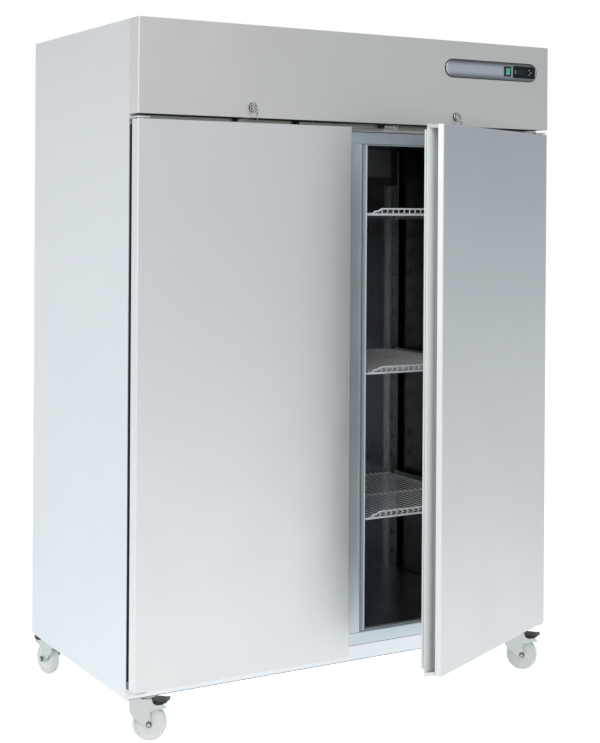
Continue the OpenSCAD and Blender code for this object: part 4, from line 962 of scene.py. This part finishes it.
def grip_profile(side):
    place = mirrored if side == "left" else swung
    section = grip_section(0.45) + grip_section(0.06)[::-1]
    section = [(x / 1000, y / 1000) for x, y in section]
    finish = moulded(f"{side}_grip_profile", (0.68, 0.71, 0.705), roughness=0.42, cloud=0.03, dust=0.03)
    # Through the door, and how far its front plane lies along that way
    through = Vector(ALONG_Y) if side == "left" else OPENED @ Vector(ALONG_Y)
    front = place((0.0, 0.0, 0.0)).dot(through)
    # Painted shade deep in the channel beside the lip, and a painted highlight towards the flange's edge
    shade_along(finish, through, front + 0.0215, front + 0.0415, 0.34, 1.36)
    made = Solids()
    made.rings([[place((x, y, z)) for x, y in section] for z in GRIP_Z])
    piece = made.piece(f"{side}_grip_profile", finish, 35.0)
    if side == "right":
        piece.data.flip_normals()
    finish_piece(piece, f"{side}_door")


for side in ("left", "right"):
    grip_profile(side)


# Beads of the breaker strips, ends of the evaporator cover, dark joints and painted shadow lines

def strip_beads():
    """A light bead along the inner edge of the breaker strips, a closed loop in each bay."""
    x0, x1 = STRIP_MID_X, OPEN_X1 - 0.004
    z0, z1 = SILL_Z + 0.004, OPEN_Z1 - 0.004
    y = FRAME_Y + 0.0078
    for side in ("left", "right"):
        flip = mirrored if side == "left" else Vector
        loop = [flip((x, y, z)) for x, z in ((x0, z0), (x1, z0), (x1, z1), (x0, z1))]
        bead = Wires()
        bead.wire(loop, 0.0044, 10, closed=True)
        finish_piece(bead.piece(f"{side}_strip_bead", STRIP_BEAD), "cabinet")


def evaporator_ends():
    """Plain plates over the outer ends of the evaporator cover."""
    for side, s in (("left", -1), ("right", 1)):
        plates(f"{side}_evaporator_end", END_PLATE, "cabinet", "steel_frame",
               (rectangle(0.124, 0.0965, 0.002), on_front(s * 0.427, CEILING_Z - 0.0490, 0.5598),
                0.0014, 0.0007))


def frame_joints_and_painted_shadows():
    """Dark joints beside the post, and strips of painted shadow over and under the plinth and behind the
    doors' hinge edges.
    """
    dark_line_y = FRAME_Y - 0.0001
    post_seam = rectangle(0.0014, OPEN_Z1 - SILL_Z - 0.004, 0.0004)
    # The painted shadow behind a hinge edge stays clear of the gasket of a closed door
    edge_painted_shadow = rectangle(0.0106, 1.590, 0.001)
    # Painted shadow under the doors' bottoms and under the plinth's edge
    dark_lines = [(rectangle(1.44, 0.0012, 0.0003), on_front(0.0, PLINTH_TOP + 0.00075, FRAME_Y + 0.0045),
              0.0040, 0.0003),
             (rectangle(1.47, 0.0014, 0.0004), on_front(0.0, BASE_Z + 0.0009, FRAME_Y + 0.0002),
              0.0006, 0.0002)]
    for s in (-1, 1):
        dark_lines.append((post_seam, on_front(s * (STRIP_MID_X - 0.0192), (OPEN_Z1 + SILL_Z) / 2, dark_line_y),
                      0.0006, 0.0002))
        dark_lines.append((edge_painted_shadow, on_front(s * (HALF_W - 0.0068), 0.983, dark_line_y), 0.0008, 0.0003))
    plates("frame_joints_and_painted_shadows", DARK_RUBBER_AND_PAINTED_SHADOW, "cabinet", "black_plastic", *dark_lines)


strip_beads()
evaporator_ends()
frame_joints_and_painted_shadows()


# Stage, light and camera

def pale_floor():
    mesh = bpy.data.meshes.new("pale_floor")
    half = 22.0
    corners = [(-half, -half, 0), (half, -half, 0), (half, half, 0), (-half, half, 0)]
    mesh.from_pydata(corners, [], [(0, 1, 2, 3)])
    floor = bpy.data.objects.new("pale_floor", mesh)
    bpy.context.scene.collection.objects.link(floor)
    material = bpy.data.materials.new("pale_floor")
    material.use_nodes = True
    n = Nodes(material.node_tree)
    light = n.add("ShaderNodeLightPath")
    seen = n.math("MAXIMUM", light.outputs["Is Camera Ray"], light.outputs["Is Transmission Ray"])
    place = n.add("ShaderNodeSeparateXYZ", {0: n.add("ShaderNodeNewGeometry").outputs["Position"]})
    toward_right = n.mapped(place.outputs[0], 1.6, 3.5, 1.0, 0.63, smooth=True)
    cool = n.math("MULTIPLY", light.outputs["Is Glossy Ray"], n.mapped(place.outputs[0], 0.6, 3.5, 0.0, 1.0))
    tint = n.mixed(cool, (1.0, 1.0, 1.0), (0.86, 0.93, 1.0))
    far = n.mapped(place.outputs[1], -8.0, -3.0, 0.23, 0.46, smooth=True)
    shine = n.math("ADD", n.math("MULTIPLY", seen, 0.62),
                   n.math("MULTIPLY", light.outputs["Is Glossy Ray"], n.math("MULTIPLY", toward_right, far)))
    shader = n.add("ShaderNodeBsdfPrincipled", {"Base Color": (0.92, 0.92, 0.92, 1.0), "Roughness": 0.7,
                                                "Emission Color": tint, "Emission Strength": shine})
    out = n.add("ShaderNodeOutputMaterial")
    n.tree.links.new(shader.outputs[0], out.inputs["Surface"])
    mesh.materials.append(material)


def studio_world():
    world = bpy.data.worlds.new("studio")
    bpy.context.scene.world = world
    world.use_nodes = True
    n = Nodes(world.node_tree)
    light = n.add("ShaderNodeLightPath")
    way = n.add("ShaderNodeSeparateXYZ", {0: n.add("ShaderNodeTexCoord").outputs["Generated"]})
    x, y, z = way.outputs
    height = n.mapped(z, -0.16, 0.30, 1.0, 0.53, smooth=True)
    right = n.mapped(x, 0.35, 0.98, 1.0, 0.56, smooth=True)
    left = n.mapped(x, -0.9, -0.2, 1.24, 1.0, smooth=True)
    far_left = n.mapped(x, -1.0, -0.86, 0.86, 1.0, smooth=True)
    level = n.math("MULTIPLY", n.math("MULTIPLY", height, right), n.math("MULTIPLY", left, far_left))
    tint = n.mixed(n.mapped(x, 0.2, 1.0, 0.0, 1.0), (1.0, 1.0, 1.0), (0.84, 0.92, 1.0))
    seen = n.math("MAXIMUM", light.outputs["Is Camera Ray"], light.outputs["Is Transmission Ray"])
    soft = n.add("ShaderNodeBackground", {"Color": tint, "Strength": level})
    white = n.add("ShaderNodeBackground", {"Color": (1.0, 1.0, 1.0, 1.0), "Strength": 1.0})
    mix = n.add("ShaderNodeMixShader", {0: seen, 1: soft.outputs[0], 2: white.outputs[0]})
    out = n.add("ShaderNodeOutputWorld")
    n.tree.links.new(mix.outputs[0], out.inputs["Surface"])


def softbox(name, place, aim, size, energy):
    lamp = bpy.data.lights.new(name, "AREA")
    lamp.shape = "RECTANGLE"
    lamp.size, lamp.size_y = size
    lamp.energy = energy
    holder = bpy.data.objects.new(name, lamp)
    holder.location = place
    holder.rotation_euler = (Vector(aim) - Vector(place)).to_track_quat("-Z", "Y").to_euler()
    bpy.context.scene.collection.objects.link(holder)


def photo_camera():
    camera = bpy.data.cameras.new("photo_camera")
    camera.sensor_fit = "VERTICAL"
    camera.sensor_width = camera.sensor_height = 36.0
    camera.lens = 70.767
    camera.shift_y = -0.2152
    camera.clip_start, camera.clip_end = 0.1, 100.0
    holder = bpy.data.objects.new("photo_camera", camera)
    bpy.context.scene.collection.objects.link(holder)
    forward = Vector((0.50438, 0.86348, 0.0)).normalized()
    right = Vector((0.86348, -0.50438, 0.006458)).normalized()
    up = right.cross(forward)
    turn = Matrix((right, up, -forward)).transposed()
    holder.matrix_world = Matrix.Translation((-2.41875, -3.77952, 1.53170)) @ turn.to_4x4()
    bpy.context.scene.camera = holder


pale_floor()
studio_world()
softbox("overhead_softbox", (-1.5, -3.2, 4.2), (0.0, 0.3, 1.0), (3.0, 2.0), 60.0)
softbox("left_softbox", (-4.5, 0.5, 2.2), (0.0, 0.4, 1.0), (2.4, 2.4), 20.0)
photo_camera()

bpy.context.scene.view_settings.view_transform = "Standard"
